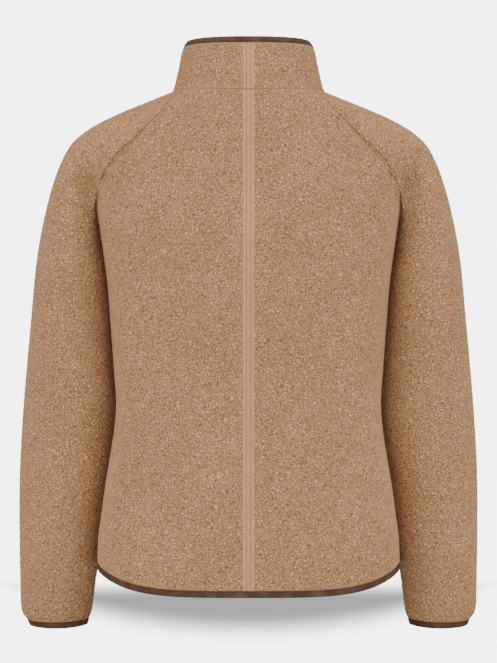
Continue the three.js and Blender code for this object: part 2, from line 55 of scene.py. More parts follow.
# Cloth, seams and bound edges, as in the solids.
CLOTH = 4.0
BOUND_CLOTH = 2.0
SEAM_GAP = 0.3
PRESSED_TOP = 1.4
PRESSED_REACH = 0.3
CROWDING = 1.25
ONE_SIDED = (2.0, 3.2)  # thinner cloth than this shows pile on both its sides
ARMPIT = -215.0
UPPER_ARM = -255.0
CUFF = -743.0
CORNER = math.radians(118)
FAR = 99.0  # further from the centre seam than its strip reaches


class Slot(Enum):
    """The materials that a row of stitches can be sewn in."""

    PILE = "pile_cloth"
    BINDING = "binding"


@dataclass(frozen=True)
class Binding:
    """The tape that is folded over each raw edge."""

    height: float = 8.0
    fold: float = 1.1
    leg: float = 1.0
    clearance: float = 0.3


@dataclass(frozen=True)
class Hollow:
    """Where the arms press the body's sides in."""

    centre: float = -16.0
    spread: float = 46.0


@dataclass(frozen=True)
class Hem:
    """The hem's height, and how it curves up at the sides and the front."""

    height: float = -682.5
    side_lift: float = 28.0
    front_lift: float = 12.0
    flatness: float = 4.7
    fades: float = -400.0


@dataclass(frozen=True)
class Neck:
    """How the neckline rises at the sides and drops at the front."""

    side_lift: float = 5.5
    front_drop: float = 30.0
    fades: float = -120.0


@dataclass(frozen=True)
class Shoulder:
    """A loop round the shoulder, halfway between the raglan seam and the upper arm."""

    x: float = 225.0
    y: float = 2.0
    z: float = -133.0
    lean: float = 19.0
    half_depth: float = 55.0
    half_height: float = 70.0
    pinch: float = 1.35


@dataclass(frozen=True)
class Slope:
    """How the cloth runs over the shoulder's outer side."""

    across: float = 0.95
    down: float = 0.72
    arriving: float = 0.75


BINDING = Binding()


def hermite(start: Any, leaving: Any, end: Any, arriving: Any, t: Any) -> Any:
    """A cubic from start to end.

    Args:
        start: Where it begins.
        leaving: Its tangent there.
        end: Where it ends.
        arriving: Its tangent there.
        t: How far along, from 0 to 1.

    Returns:
        The value at t.
    """
    t2, t3 = t * t, t * t * t
    near_start = (2 * t3 - 3 * t2 + 1) * start + (t3 - 2 * t2 + t) * leaving
    return near_start + (3 * t2 - 2 * t3) * end + (t3 - t2) * arriving


class Curve:
    """A smooth curve through points, flat beyond its ends."""

    def __init__(self, xs: np.ndarray, ys: np.ndarray) -> None:
        """A curve through the points at xs and ys, whose xs rise."""
        self._xs, self._ys = xs, ys
        self._steps = np.diff(xs)
        slopes = np.diff(ys) / self._steps
        before, after = self._steps[:-1], self._steps[1:]
        inner = (slopes[:-1] * after + slopes[1:] * before) / (before + after)
        self._tangents = np.concatenate([slopes[:1], inner, slopes[-1:]])

    def __call__(self, at: Any) -> np.ndarray:
        """The curve's value."""
        x = np.clip(at, self._xs[0], self._xs[-1])
        i = np.clip(np.searchsorted(self._xs, x, side="right") - 1, 0, len(self._steps) - 1)
        step = self._steps[i]
        return hermite(
            self._ys[i],
            self._tangents[i] * step,
            self._ys[i + 1],
            self._tangents[i + 1] * step,
            (x - self._xs[i]) / step,
        )


class Table:
    """Sizes in named columns. The first column is what the others are looked up by."""

    def __init__(self, names: str, rows: Sequence[Sequence[float]]) -> None:
        """A table with these columns and rows."""
        data = np.array(rows, float)
        data = data[np.argsort(data[:, 0])]
        self._curves = {name: Curve(data[:, 0], data[:, i]) for i, name in enumerate(names.split())}

    def __getattr__(self, name: str) -> Curve:
        """The curve of the column with this name."""
        if name.startswith("_"):
            raise AttributeError(name)
        return self._curves[name]


BODY = Table(
    "height half_width back front square hollow",
    [
        (-682.5, 211, 126, 122, 3, 2),
        (-640, 210.5, 125, 122, 3, 4),
        (-600, 206.5, 123, 122, 3, 6),
        (-558, 201.8, 120, 121, 3, 7),
        (-516, 196.3, 117, 120, 3, 8),
        (-474, 190.6, 114, 119, 3, 8.5),
        (-432, 187.6, 112, 119, 3, 9),
        (-378, 191, 112, 120, 3, 9.5),
        (-315, 195.6, 116, 123, 3, 10),
        (-255, 200.5, 120, 125, 3, 11),
        (-215, 206, 121, 124, 2.9, 10),
        (-180, 210.5, 120, 122, 2.8, 7),
        (-134, 215, 115, 115, 2.6, 2.5),
        (-110, 221, 110, 109, 2.45, 1),
        (-84, 226, 103, 101, 2.3, 0),
        (-63, 226, 97, 94, 2.22, 0),
        (-42, 212, 91, 88, 2.15, 0),
        (-21, 166, 85, 83, 2.1, 0),
        (-8, 129, 82, 80, 2.05, 0),
        (0, 108, 80, 78, 2.05, 0),
    ],
)
# Degrees round the body from the side seam to the raglan seams.
RAGLAN = Table(
    "height back front",
    [
        (-215, 0, 0),
        (-205, 1.4, 2.2),
        (-190, 3.1, 4.6),
        (-170, 5.5, 7.6),
        (-150, 8.8, 11.2),
        (-134, 12.2, 14.4),
        (-110, 19.2, 20.6),
        (-84, 24, 25.4),
        (-63, 27.4, 28.6),
        (-42, 29.8, 31),
        (-21, 30.5, 32),
        (0, 25.7, 30),
    ],
)
ARM = Table(
    "height inner outer y half_depth",
    [
        (-743, 227.5, 310.5, -32, 41.5),
        (-735, 225.2, 314.5, -32, 42.5),
        (-727, 222.2, 320.3, -32, 46),
        (-717, 220.4, 322.5, -32, 48.7),
        (-694, 217.4, 323.2, -31.5, 51),
        (-680, 215.4, 323.6, -31, 52.5),
        (-642, 210.5, 324.2, -30, 55),
        (-600, 205, 324.4, -29, 57),
        (-558, 199, 324.1, -27, 59),
        (-516, 192.6, 323, -25, 60.5),
        (-474, 187, 320.6, -23, 62),
        (-432, 184, 317.4, -20, 63.5),
        (-378, 186.5, 312.4, -16, 65.5),
        (-315, 190.5, 306, -11, 67),
        (-255, 195, 300, -5, 66),
    ],
)
COLLAR = Table(
    "rise size",
    [(0, 1), (0.06, 0.98), (0.17, 0.958), (0.35, 0.93), (0.6, 0.896), (0.8, 0.87), (0.9, 0.85), (1, 0.81)],
)
# The fold between the arm and the body, seen from behind: how far out it runs, how deep it is, and how far
# its slopes reach on the arm's side and on the body's side.
FOLD = Table(
    "height x depth outboard inboard",
    [
        (-78, 240, 0, 20, 10),
        (-95, 236, 2.5, 18, 10),
        (-115, 231, 4, 16, 9),
        (-135, 222, 2, 16, 9),
        (-156, 216, 0, 16, 8),
    ],
)
# Where the arm's inner side lies beside the body, and how far the sleeve's cloth is drawn in to round it.
SOCKET = Table(
    "height inner drawn",
    [
        (-80, 240, 0),
        (-95, 232, 0.08),
        (-115, 224, 0.24),
        (-125, 219, 0.36),
        (-135, 214, 0.42),
        (-156, 207, 0.36),
        (-176, 201, 0.28),
        (-197, 196, 0.26),
        (-217, 193, 0.2),
        (-240, 192, 0.1),
        (-255, 192, 0),
    ],
)
# The back and the front stand a little fuller beside the fold, down to the armpit.
FULLER = Table(
    "height x by",
    [(-80, 206, 0), (-105, 207, 4), (-135, 206, 6.5), (-180, 203, 6.5), (-220, 198, 4), (-280, 194, 0)],
)


def normalised(vectors: np.ndarray) -> np.ndarray:
    """Vectors at a length of 1."""
    return vectors / np.linalg.norm(vectors, axis=-1, keepdims=True)


def smoothstep(low: float, high: float, at: Any) -> Any:
    """0 below low, 1 above high, and smooth between."""
    t = np.clip((at - low) / (high - low), 0, 1)
    return t * t * (3 - 2 * t)


def bell(distance: Any, width: Any) -> Any:
    """1 at no distance, falling off over the width."""
    return np.exp(-((distance / width) ** 2))


def crowded(share: Any) -> Any:
    """Shares of a length with more of them near 0."""
    return share**CROWDING


def neck_lift(angle: Any, side_lift: float, front_drop: float) -> Any:
    """How far the neckline lies above or below the centre back, at an angle round it."""
    forward = (1 - np.sin(angle)) / 2
    return side_lift * np.sin(math.pi * forward) - front_drop * forward**4


@dataclass(frozen=True)
class Frames:
    """Directions on a surface: round it, up it, and out of it."""

    round: np.ndarray
    up: np.ndarray
    normal: np.ndarray


def frames(
    point: Callable[[Any, Any], np.ndarray],
    height: Any,
    angle: Any,
    climb: float,
    top: float,
    bottom: float,
) -> Frames:
    """The directions of a surface, from points a little apart.

    Args:
        point: Gives the surface's point at a height and an angle.
        height: Where.
        angle: Where, round the surface.
        climb: How far apart the points are in height.
        top: The surface's highest height.
        bottom: Its lowest.

    Returns:
        The directions.
    """
    turn = 0.004
    high, low = np.minimum(height + climb, top), np.maximum(height - climb, bottom)
    around = normalised(point(height, angle + turn) - point(height, angle - turn))
    up = normalised(point(high, angle) - point(low, angle))
    return Frames(around, up, normalised(np.cross(around, up)))


@dataclass(frozen=True)
class BodyForm:
    """The outside of the body, from the hem to the neckline, and where its seams are."""

    hollow: Hollow = Hollow()
    hem: Hem = Hem()
    neck: Neck = Neck()

    def point(self, height: Any, angle: Any) -> np.ndarray:
        """A point on the outside of the body.

        Args:
            height: Its height before the hem's and the neckline's curves.
            angle: Where, round the body: 0 is the wearer's left and a quarter turn the back.

        Returns:
            The point.
        """
        height, angle = np.broadcast_arrays(np.asarray(height, float), np.asarray(angle, float))
        cos, sin = np.cos(angle), np.sin(angle)
        square, half_width = BODY.square(height), BODY.half_width(height)
        depth = np.where(sin > 0, BODY.back(height), BODY.front(height))
        reach = (np.abs(cos / half_width) ** square + np.abs(sin / depth) ** square) ** (-1 / square)
        y = reach * sin
        pressed = BODY.hollow(height) * bell(y - self.hollow.centre, self.hollow.spread)
        x = reach * cos - np.sign(cos) * pressed * np.minimum(1, 2 * np.abs(cos))
        hem_share = 1 - smoothstep(self.hem.height, self.hem.fades, height)
        forward = (1 - sin) / 2
        sides = self.hem.side_lift * np.abs(x / half_width) ** self.hem.flatness
        lift = sides + self.hem.front_lift * forward**2 * (1 - cos**2)
        neck_share = np.maximum(0, 1 - height / self.neck.fades) ** 2
        neck = neck_lift(angle, self.neck.side_lift, self.neck.front_drop)
        z = height + hem_share * lift + neck_share * neck
        return np.stack([x, y, z], -1)

    def frames(self, height: Any, angle: Any) -> Frames:
        """The body's directions at a height and an angle."""
        return frames(self.point, height, angle, 0.5, 0.0, self.hem.height)

    def seam_angle(self, height: Any, side: Any) -> np.ndarray:
        """Where a raglan or side seam is on the wearer's left: side 1 the back's seam, -1 the front's."""
        degrees = np.where(np.asarray(side) > 0, RAGLAN.back(height), RAGLAN.front(height))
        return side * np.radians(np.where(np.asarray(height) < ARMPIT, 0, degrees))

    def seam_heights(self, shares: np.ndarray, side: int) -> np.ndarray:
        """Heights along a raglan seam.

        Args:
            shares: Shares of its length, from the armpit to the neckline.
            side: 1 for the back's seam and -1 for the front's.

        Returns:
            The heights.
        """
        heights = ARMPIT * (1 - np.linspace(0, 1, 241)) ** 1.5
        points = self.point(heights, self.seam_angle(heights, side))
        run = np.concatenate([[0], np.cumsum(np.linalg.norm(np.diff(points, axis=0), axis=1))])
        return np.interp(shares * run[-1], run, heights)

    def seam_side(self, height: np.ndarray, side: Any) -> np.ndarray:
        """The direction in the cloth, square to a raglan seam, into the body's panel.

        Args:
            height: Where on the seam.
            side: 1 for the back's seam and -1 for the front's.

        Returns:
            The direction.
        """
        low, high = np.maximum(height - 0.5, ARMPIT), np.minimum(height + 0.5, 0)
        at = self.frames(height, self.seam_angle(height, side))
        along = self.point(high, self.seam_angle(high, side)) - self.point(low, self.seam_angle(low, side))
        square = normalised(np.cross(along, at.normal)) * np.asarray(side, float).reshape(-1, 1)
        return np.where((height <= ARMPIT)[:, None], -at.up, square)

    def even_angles(
        self, heights: np.ndarray, start: np.ndarray, end: np.ndarray, wanted: np.ndarray
    ) -> np.ndarray:
        """Angles at the same shares of each row's length.

        Args:
            heights: The rows' heights.
            start: The first angle of each row.
            end: The last.
            wanted: The shares.

        Returns:
            Angles, one row for each height.
        """
        dense = start[:, None] + (end - start)[:, None] * np.linspace(0, 1, 181)
        points = self.point(heights[:, None], dense)
        lengths = np.linalg.norm(np.diff(points, axis=1), axis=2)
        run = np.concatenate([np.zeros((len(heights), 1)), np.cumsum(lengths, axis=1)], axis=1)
        return np.stack([np.interp(wanted * r[-1], r, d) for r, d in zip(run, dense)])


BODY_FORM = BodyForm()


@dataclass(frozen=True)
class CollarForm:
    """The outside of the collar: its top's height above the seam, and its depth share."""

    back: float = 72.5
    side_lift: float = 2.5
    front_drop: float = 21.0
    depth: float = 0.71

    def point(self, rise: Any, angle: Any) -> np.ndarray:
        """A point on the collar's outside.

        Args:
            rise: The share of the way up.
            angle: Where, round it.

        Returns:
            The point.
        """
        rise, angle = np.broadcast_arrays(np.asarray(rise, float), np.asarray(angle, float))
        foot, size = BODY_FORM.point(0.0, angle), COLLAR.size(rise)
        top = self.back + neck_lift(angle, self.side_lift, self.front_drop)
        depth = 1 + (size - 1) * self.depth
        share = np.cos(angle) ** 2 * size + np.sin(angle) ** 2 * depth
        z = foot[..., 2] + (top - foot[..., 2]) * rise
        return np.stack([foot[..., 0] * share, foot[..., 1] * share, z], -1)

    def frames(self, rise: Any, angle: Any) -> Frames:
        """The collar's directions."""
        return frames(self.point, rise, angle, 0.01, 1.0, 0.0)


COLLAR_FORM = CollarForm()


def neck_wall(angle: np.ndarray) -> tuple[np.ndarray, np.ndarray]:
    """How the cloth's wall stands at the neckline, halfway between the body's slope and the collar.

    Args:
        angle: Where, round the neckline.

    Returns:
        The wall's direction and its thickness along it.
    """
    slope = BODY_FORM.frames(0.0, angle).normal
    middle = normalised(slope + COLLAR_FORM.frames(0.0, angle).normal)
    return middle, CLOTH / np.sum(middle * slope, axis=-1)


def pinched(around: Any, power: float) -> np.ndarray:
    """A sine that keeps nearer 0 on the arm's inner side, which so comes to a soft edge against the body."""
    sin = np.sin(around)
    return np.sign(sin) * np.abs(sin) ** np.where(np.cos(around) > 0, power, 1.0)


@dataclass(frozen=True)
class ArmForm:
    """The outside of the left arm, below the shoulder, and the loop round the shoulder."""

    pinch: float = 1.3
    shoulder: Shoulder = Shoulder()

    def point(self, height: Any, around: Any) -> np.ndarray:
        """A point on a ring of the arm.

        Args:
            height: The ring's height.
            around: Where on it, counted from the armpit by way of the back.

        Returns:
            The point.
        """
        height, around = np.broadcast_arrays(np.asarray(height, float), np.asarray(around, float))
        across = (1 - np.cos(around)) / 2
        x = ARM.inner(height) + (ARM.outer(height) - ARM.inner(height)) * across
        y = ARM.y(height) + ARM.half_depth(height) * pinched(around, self.pinch)
        return np.stack([x, y, height], -1)

    def over_shoulder(self, around: np.ndarray) -> np.ndarray:
        """A point on the loop round the shoulder."""
        cos = np.cos(around)
        return np.stack(
            [
                self.shoulder.x - self.shoulder.lean * cos,
                self.shoulder.y + self.shoulder.half_depth * pinched(around, self.shoulder.pinch),
                self.shoulder.z - self.shoulder.half_height * cos,
            ],
            -1,
        )


ARM_FORM = ArmForm()


@dataclass(frozen=True)
class Fold:
    """The soft fold between the arm and the body."""

    fuller_width: float = 13.0
    full_depth_from: float = 40.0
    front_share: float = 0.7

    def offset(self, points: np.ndarray) -> np.ndarray:
        """How far each point of the cloth moves, towards the middle of the body's depth."""
        x, y, z = np.abs(points[..., 0]), points[..., 1], points[..., 2]
        away = x - FOLD.x(z)
        width = np.where(away > 0, FOLD.outboard(z), FOLD.inboard(z))
        depth = FOLD.depth(z) * bell(away, width) - FULLER.by(z) * bell(x - FULLER.x(z), self.fuller_width)
        back, front = smoothstep(0, self.full_depth_from, y), smoothstep(0, self.full_depth_from, -y)
        facing = back - self.front_share * front
        return np.stack([np.zeros_like(x), -depth * facing, np.zeros_like(x)], -1)


SHOULDER_FOLD = Fold()


@dataclass
class Cloth:
    """The outer side of a piece of cloth, as a grid of rows from the bottom up, anticlockwise from outside.

    Attributes:
        point: Where each corner of the grid is.
        normal: Which way is out.
        thickness: How thick the cloth is.
        sunk: How far its outer side is pressed in.
        pile: How much of the pile stands, from 0 to 1.
        seam: 1 on a seam, falling to 0 beside it; it sets the painted shade along the seam.
        closed: Whether the rows are closed rings.
    """

    point: np.ndarray
    normal: np.ndarray
    thickness: np.ndarray
    sunk: np.ndarray
    pile: np.ndarray
    seam: np.ndarray
    closed: bool = False

    def mirrored(self) -> "Cloth":
        """The same piece on the wearer's other side."""
        flip = np.array([-1.0, 1.0, 1.0])
        grids = [self.point * flip, self.normal * flip, self.thickness, self.sunk, self.pile, self.seam]
        return Cloth(*[grid[:, ::-1] for grid in grids], closed=self.closed)


class Faces:
    """Collects the faces of a mesh, and turns them into one."""

    def __init__(self) -> None:
        """No faces yet."""
        self._quads: list[np.ndarray] = []
        self._triangles: list[np.ndarray] = []

    def grid(self, index: np.ndarray, flipped: bool = False) -> None:
        """Adds the cells of a grid of vertex numbers."""
        corners = [index[:-1, :-1], index[:-1, 1:], index[1:, 1:], index[1:, :-1]]
        quads = np.stack(corners[::-1] if flipped else corners, -1).reshape(-1, 4)
        self._quads.append(quads)

    def rim(self, outer: np.ndarray, inner: np.ndarray, flipped: bool = False) -> None:
        """Joins a fine line of vertices to a coarse one that runs beside it.

        Args:
            outer: The fine line's vertex numbers.
            inner: The coarse line's, from the same start to the same end.
            flipped: Whether the faces look the other way.
        """
        step = (len(outer) - 1) // (len(inner) - 1)
        middle = step // 2
        found = []
        for j in range(step):
            nearest = inner[:-1] if j < middle else inner[1:]
            found.append(np.stack([outer[j:-1:step], nearest, outer[j + 1 :: step][: len(nearest)]], -1))
        found.append(np.stack([outer[middle:-1:step], inner[:-1], inner[1:]], -1))
        triangles = np.concatenate(found)
        self._triangles.append(triangles[:, ::-1] if flipped else triangles)

    def mesh(self, name: str, points: np.ndarray) -> bpy.types.Mesh:
        """Makes the mesh.

        Args:
            name: Its name.
            points: Its vertices in millimetres.

        Returns:
            The mesh, smooth and in metres.
        """
        quads = np.concatenate([*self._quads, np.zeros((0, 4), int)])
        triangles = np.concatenate([*self._triangles, np.zeros((0, 3), int)])
        made = bpy.data.meshes.new(name)
        made.vertices.add(len(points))
        made.vertices.foreach_set("co", (points * MM).astype(np.float32).ravel())
        made.loops.add(quads.size + triangles.size)
        corners = np.concatenate([quads.ravel(), triangles.ravel()])
        made.loops.foreach_set("vertex_index", corners.astype(np.int32))
        starts = np.concatenate([np.arange(len(quads)) * 4, quads.size + np.arange(len(triangles)) * 3])
        made.polygons.add(len(starts))
        made.polygons.foreach_set("loop_start", starts.astype(np.int32))
        made.update(calc_edges=True)
        made.validate()
        made.shade_smooth()
        return made


def closed_index(index: np.ndarray, closed: bool) -> np.ndarray:
    """A grid of vertex numbers, with its first column again at the end where its rows are rings."""
    return np.concatenate([index, index[:, :1]], axis=1) if closed else index


def shell(name: str, cloth: Cloth, step: int = 4) -> bpy.types.Mesh:
    """A closed, thin shell: a fine outer side, a coarser inner side, and rims that join them.

    Args:
        name: The mesh's name.
        cloth: Its outer side.
        step: How many of the outer side's cells make one of the inner side's.

    Returns:
        The mesh, with the attributes pile, seam and inside on its vertices.
    """
    moved = cloth.point + SHOULDER_FOLD.offset(cloth.point)
    outer = moved - cloth.normal * cloth.sunk[..., None]
    inner = (moved - cloth.normal * cloth.thickness[..., None])[::step, ::step]
    index = np.arange(outer[..., 0].size).reshape(outer.shape[:2])
    inner_index = index.size + np.arange(inner[..., 0].size).reshape(inner.shape[:2])
    fine, coarse = closed_index(index, cloth.closed), closed_index(inner_index, cloth.closed)
    faces = Faces()
    faces.grid(fine)
    faces.grid(coarse, flipped=True)
    faces.rim(fine[0], coarse[0])
    faces.rim(fine[-1], coarse[-1], flipped=True)
    if not cloth.closed:
        faces.rim(fine[:, 0], coarse[:, 0], flipped=True)
        faces.rim(fine[:, -1], coarse[:, -1])
    made = faces.mesh(name, np.concatenate([outer.reshape(-1, 3), inner.reshape(-1, 3)]))
    inside = smoothstep(*ONE_SIDED, cloth.thickness[::step, ::step])
    store(made, "pile", np.concatenate([cloth.pile.ravel(), (1 - inside).ravel()]))
    store(made, "seam", np.concatenate([cloth.seam.ravel(), np.zeros(inside.size)]))
    store(made, "inside", np.concatenate([np.zeros(index.size), inside.ravel()]))
    return made


def store(mesh: bpy.types.Mesh, name: str, values: np.ndarray) -> None:
    """Keeps a number, or a vector, for each vertex of a mesh."""
    kind, field = ("FLOAT", "value") if values.ndim == 1 else ("FLOAT_VECTOR", "vector")
    attribute = mesh.attributes.new(name, kind, "POINT")
    attribute.data.foreach_set(field, values.astype(np.float32).ravel())


def bound_rows() -> np.ndarray:
    """How far in from a bound edge the rows beside its tape are."""
    edge = BINDING.height + PRESSED_REACH
    return np.array([0, edge - 1.5, edge - 0.6, edge, edge + 0.5, edge + 1.0])


def bound_shape(inset: np.ndarray) -> tuple[np.ndarray, np.ndarray, np.ndarray]:
    """The cloth near a bound edge.

    Args:
        inset: How far in from the edge.

    Returns:
        How far its outer side is pressed in, how thick it is, and how much pile stands.
    """
    edge = BINDING.height + PRESSED_REACH
    pressed = 1 - smoothstep(edge - 0.4, edge + 1.4, inset)
    thickness = CLOTH - (CLOTH - BOUND_CLOTH - PRESSED_TOP) * pressed
    return PRESSED_TOP * pressed, thickness, smoothstep(edge - 0.6, edge + 1.6, inset)


@dataclass(frozen=True)
class SeamDip:
    """How the cloth dips at a seam, how far from it the pile stands again, and how far from it the painted
    shade along the seam reaches.
    """

    depth: float = 1.0
    width: float = 1.4
    bare: float = 0.2
    full: float = 2.0
    shaded: float = 2.2


@dataclass(frozen=True)
class CentreStrip:
    """The stitched strip down the centre back, measured out from the seam."""

    stitch: float = 3.0
    edge: float = 5.6
    full: float = 8.5
    sunk: float = 1.25
    groove: float = 1.1
    groove_width: float = 0.6
    seam: float = 0.35
    seam_width: float = 0.6
    slope: float = 1.2


SEAM_DIP = SeamDip()
STRIP = CentreStrip()


def dip(distance: np.ndarray) -> tuple[np.ndarray, np.ndarray, np.ndarray]:
    """How the cloth is at a distance from a seam.

    Args:
        distance: How far from the seam.

    Returns:
        How far the cloth is sunk, how much of its pile stands, and how near the seam is, which sets the
        painted shade along it.
    """
    sunk = SEAM_DIP.depth * bell(distance, SEAM_DIP.width)
    pile = smoothstep(SEAM_DIP.bare, SEAM_DIP.full, distance)
    return sunk, pile, np.clip(1 - distance / SEAM_DIP.shaded, 0, 1)


def strip_shape(across: np.ndarray) -> tuple[np.ndarray, np.ndarray]:
    """How the centre strip is at a distance from the centre seam.

    Args:
        across: How far from the seam.

    Returns:
        How deep the strip lies, and how much of the pile stands.
    """
    flat = 1 - smoothstep(STRIP.edge - STRIP.slope, STRIP.full, across)
    grooves = STRIP.groove * bell(across - STRIP.stitch, STRIP.groove_width)
    sunk = STRIP.sunk * flat + grooves + STRIP.seam * bell(across, STRIP.seam_width)
    return sunk, smoothstep(STRIP.edge, STRIP.full, across)


# How far out from the centre seam the columns beside it are.
STRIP_COLUMNS = np.array([0.0, 0.5, 1.1, 1.7, 2.2, 2.6, 2.85, 3.1, 3.4, 3.8, 4.4, 5.1, 5.9, 6.8, 7.8, 9.0])


def row_lengths(points: np.ndarray, axis: int) -> np.ndarray:
    """How far along its row or column each corner of a grid is.

    Args:
        points: The grid.
        axis: 0 to measure along columns and 1 along rows.

    Returns:
        The lengths from the grid's start.
    """
    run = np.cumsum(np.linalg.norm(np.diff(points, axis=axis), axis=2), axis=axis)
    pad = [(0, 0), (0, 0)]
    pad[axis] = (1, 0)
    return np.pad(run, pad)


def relaxed(points: np.ndarray, share: np.ndarray, passes: int) -> np.ndarray:
    """Evens out a grid of closed rings, so that the cloth lies without a fold where rings bunch up.

    Args:
        points: The grid.
        share: How much each corner may move, from 0 to 1.
        passes: How often each moves.

    Returns:
        The grid, with its first and last rings where they were.
    """
    points = points.copy()
    for _ in range(passes):
        beside = np.roll(points, 1, axis=1) + np.roll(points, -1, axis=1)
        mean = (beside[1:-1] + points[:-2] + points[2:]) / 4
        points[1:-1] += (mean - points[1:-1]) * share[1:-1, :, None]
    return points


def grid_normals(grid: np.ndarray) -> np.ndarray:
    """The outward normals of closed rings that run down from the shoulder."""
    down = np.gradient(grid, axis=0)
    around = np.roll(grid, -1, axis=1) - np.roll(grid, 1, axis=1)
    return normalised(np.cross(around, down))


@dataclass
class Edge:
    """A closed bound edge, anticlockwise as seen from past it.

    Attributes:
        point: Its points.
        normal: The cloth's outward normal at each.
        past: The way on past the edge.
    """

    point: np.ndarray
    normal: np.ndarray
    past: np.ndarray

    def mirrored(self) -> "Edge":
        """The same edge on the wearer's other side."""
        flip = np.array([-1.0, 1.0, 1.0])
        return Edge(*[(a * flip)[::-1] for a in (self.point, self.normal, self.past)])

    def line(self, out: float, on: float) -> np.ndarray:
        """A line beside the edge, that far out of the cloth and past the edge."""
        return self.point + self.normal * out + self.past * on


Value = Any


class NodeTree:
    """Adds nodes to a node tree and joins their sockets."""

    def __init__(self, tree: bpy.types.NodeTree) -> None:
        """Works on this tree."""
        self.tree = tree

    @classmethod
    def group(cls, name: str, kind: str, inputs: Sequence[tuple], outputs: Sequence[tuple]) -> "NodeTree":
        """A new node group.

        Args:
            name: Its name.
            kind: "GeometryNodeTree" or "ShaderNodeTree".
            inputs: The name, kind and default of each input.
            outputs: The name and kind of each output.

        Returns:
            The group, with its input and output nodes in place.
        """
        made = cls(bpy.data.node_groups.new(name, kind))
        for label, socket, *default in inputs:
            added = made.tree.interface.new_socket(label, in_out="INPUT", socket_type=socket)
            if default:
                added.default_value = default[0]
        for label, socket in outputs:
            made.tree.interface.new_socket(label, in_out="OUTPUT", socket_type=socket)
        made.given = made.tree.nodes.new("NodeGroupInput").outputs
        made.result = made.tree.nodes.new("NodeGroupOutput").inputs
        return made

    def add(self, kind: str, inputs: Optional[dict] = None, **settings: Value) -> bpy.types.Node:
        """Adds a node.

        Args:
            kind: Its type.
            inputs: Values, or sockets to join, by input name or number.
            settings: Its own properties.

        Returns:
            The node.
        """
        made = self.tree.nodes.new(kind)
        for name, value in settings.items():
            setattr(made, name, value)
        for key, value in (inputs or {}).items():
            self.put(value, made.inputs[key])
        return made

    def put(self, value: Value, socket: bpy.types.NodeSocket) -> None:
        """Joins a socket to another, or sets its value."""
        if isinstance(value, bpy.types.NodeSocket):
            self.tree.links.new(value, socket)
        else:
            socket.default_value = value

    def math(self, operation: str, *values: Value, clamp: bool = False) -> bpy.types.NodeSocket:
        """The result of a sum."""
        made = self.add("ShaderNodeMath", dict(enumerate(values)), operation=operation, use_clamp=clamp)
        return made.outputs[0]

    def ranged(self, value: Value, low: float, high: float, to: tuple = (0.0, 1.0)) -> bpy.types.NodeSocket:
        """A value moved smoothly from one range into another."""
        inputs = {0: value, 1: low, 2: high, 3: to[0], 4: to[1]}
        return self.add("ShaderNodeMapRange", inputs, interpolation_type="SMOOTHSTEP").outputs[0]

    def noise(
        self, vector: Value, scale: float, detail: float = 2.0, roughness: float = 0.5
    ) -> bpy.types.Node:
        """A noise texture."""
        inputs = {"Vector": vector, "Scale": scale, "Detail": detail, "Roughness": roughness}
        return self.add("ShaderNodeTexNoise", inputs)


FLOAT = "NodeSocketFloat"
VECTOR = "NodeSocketVector"
GEOMETRY = "NodeSocketGeometry"
MATERIAL = "NodeSocketMaterial"

CURL = 0.0040  # how wide one of the pile's curls is, in metres


def curl_height(nodes: NodeTree, position: Value) -> bpy.types.NodeSocket:
    """The pile's height in little winding curls.

    Args:
        nodes: The tree to build in.
        position: Where, in metres.

    Returns:
        A socket with 0 in the gaps between curls and 1 on top of them.
    """
    wander = nodes.noise(position, 0.62 / CURL, 1.5)
    shift = nodes.add(
        "ShaderNodeVectorMath", {0: wander.outputs[1], 1: (0.5, 0.5, 0.5)}, operation="SUBTRACT"
    )
    bent = nodes.add(
        "ShaderNodeVectorMath",
        {0: shift.outputs[0], 1: (2.2 * CURL,) * 3, 2: position},
        operation="MULTIPLY_ADD",
    ).outputs[0]
    cells = nodes.add(
        "ShaderNodeTexVoronoi", {"Vector": bent, "Scale": 1 / CURL}, feature="DISTANCE_TO_EDGE"
    )
    lump = nodes.ranged(cells.outputs["Distance"], 0.0, 0.34)
    tufts = nodes.noise(position, 1.1 / CURL, 2.0, 0.6).outputs[0]
    return nodes.math("ADD", nodes.math("MULTIPLY", lump, 0.72), nodes.math("MULTIPLY", tufts, 0.28))


def pile_group() -> NodeTree:
    """Geometry nodes that comb a smooth face into curly pile.

    Returns:
        The group. It presses the gaps in, and leaves the tips on the form.
    """
    nodes = NodeTree.group(
        "curly_pile",
        "GeometryNodeTree",
        [("Geometry", GEOMETRY), ("Depth", FLOAT, 0.0009), ("Material", MATERIAL)],
        [("Geometry", GEOMETRY)],
    )
    position = nodes.add("GeometryNodeInputPosition").outputs[0]
    standing = nodes.add("GeometryNodeInputNamedAttribute", {"Name": "pile"}, data_type="FLOAT").outputs[0]
    height = curl_height(nodes, position)
    gap = nodes.math("MULTIPLY", nodes.math("SUBTRACT", 1.0, height), standing)
    depth = nodes.math("MULTIPLY", nodes.math("MULTIPLY", gap, nodes.given["Depth"]), -1.0)
    normal = nodes.add("GeometryNodeInputNormal").outputs[0]
    offset = nodes.add("ShaderNodeVectorMath", {0: normal, "Scale": depth}, operation="SCALE").outputs[0]
    kept = nodes.add(
        "GeometryNodeStoreNamedAttribute",
        {"Geometry": nodes.given["Geometry"], "Name": "rest", "Value": position},
        data_type="FLOAT_VECTOR",
        domain="POINT",
    )
    combed = nodes.add("GeometryNodeSetPosition", {"Geometry": kept.outputs[0], "Offset": offset})
    real = nodes.add("GeometryNodeRealizeInstances", {0: combed.outputs[0]})
    made = nodes.add(
        "GeometryNodeSetMaterial", {"Geometry": real.outputs[0], "Material": nodes.given["Material"]}
    )
    nodes.put(made.outputs[0], nodes.result[0])
    return nodes


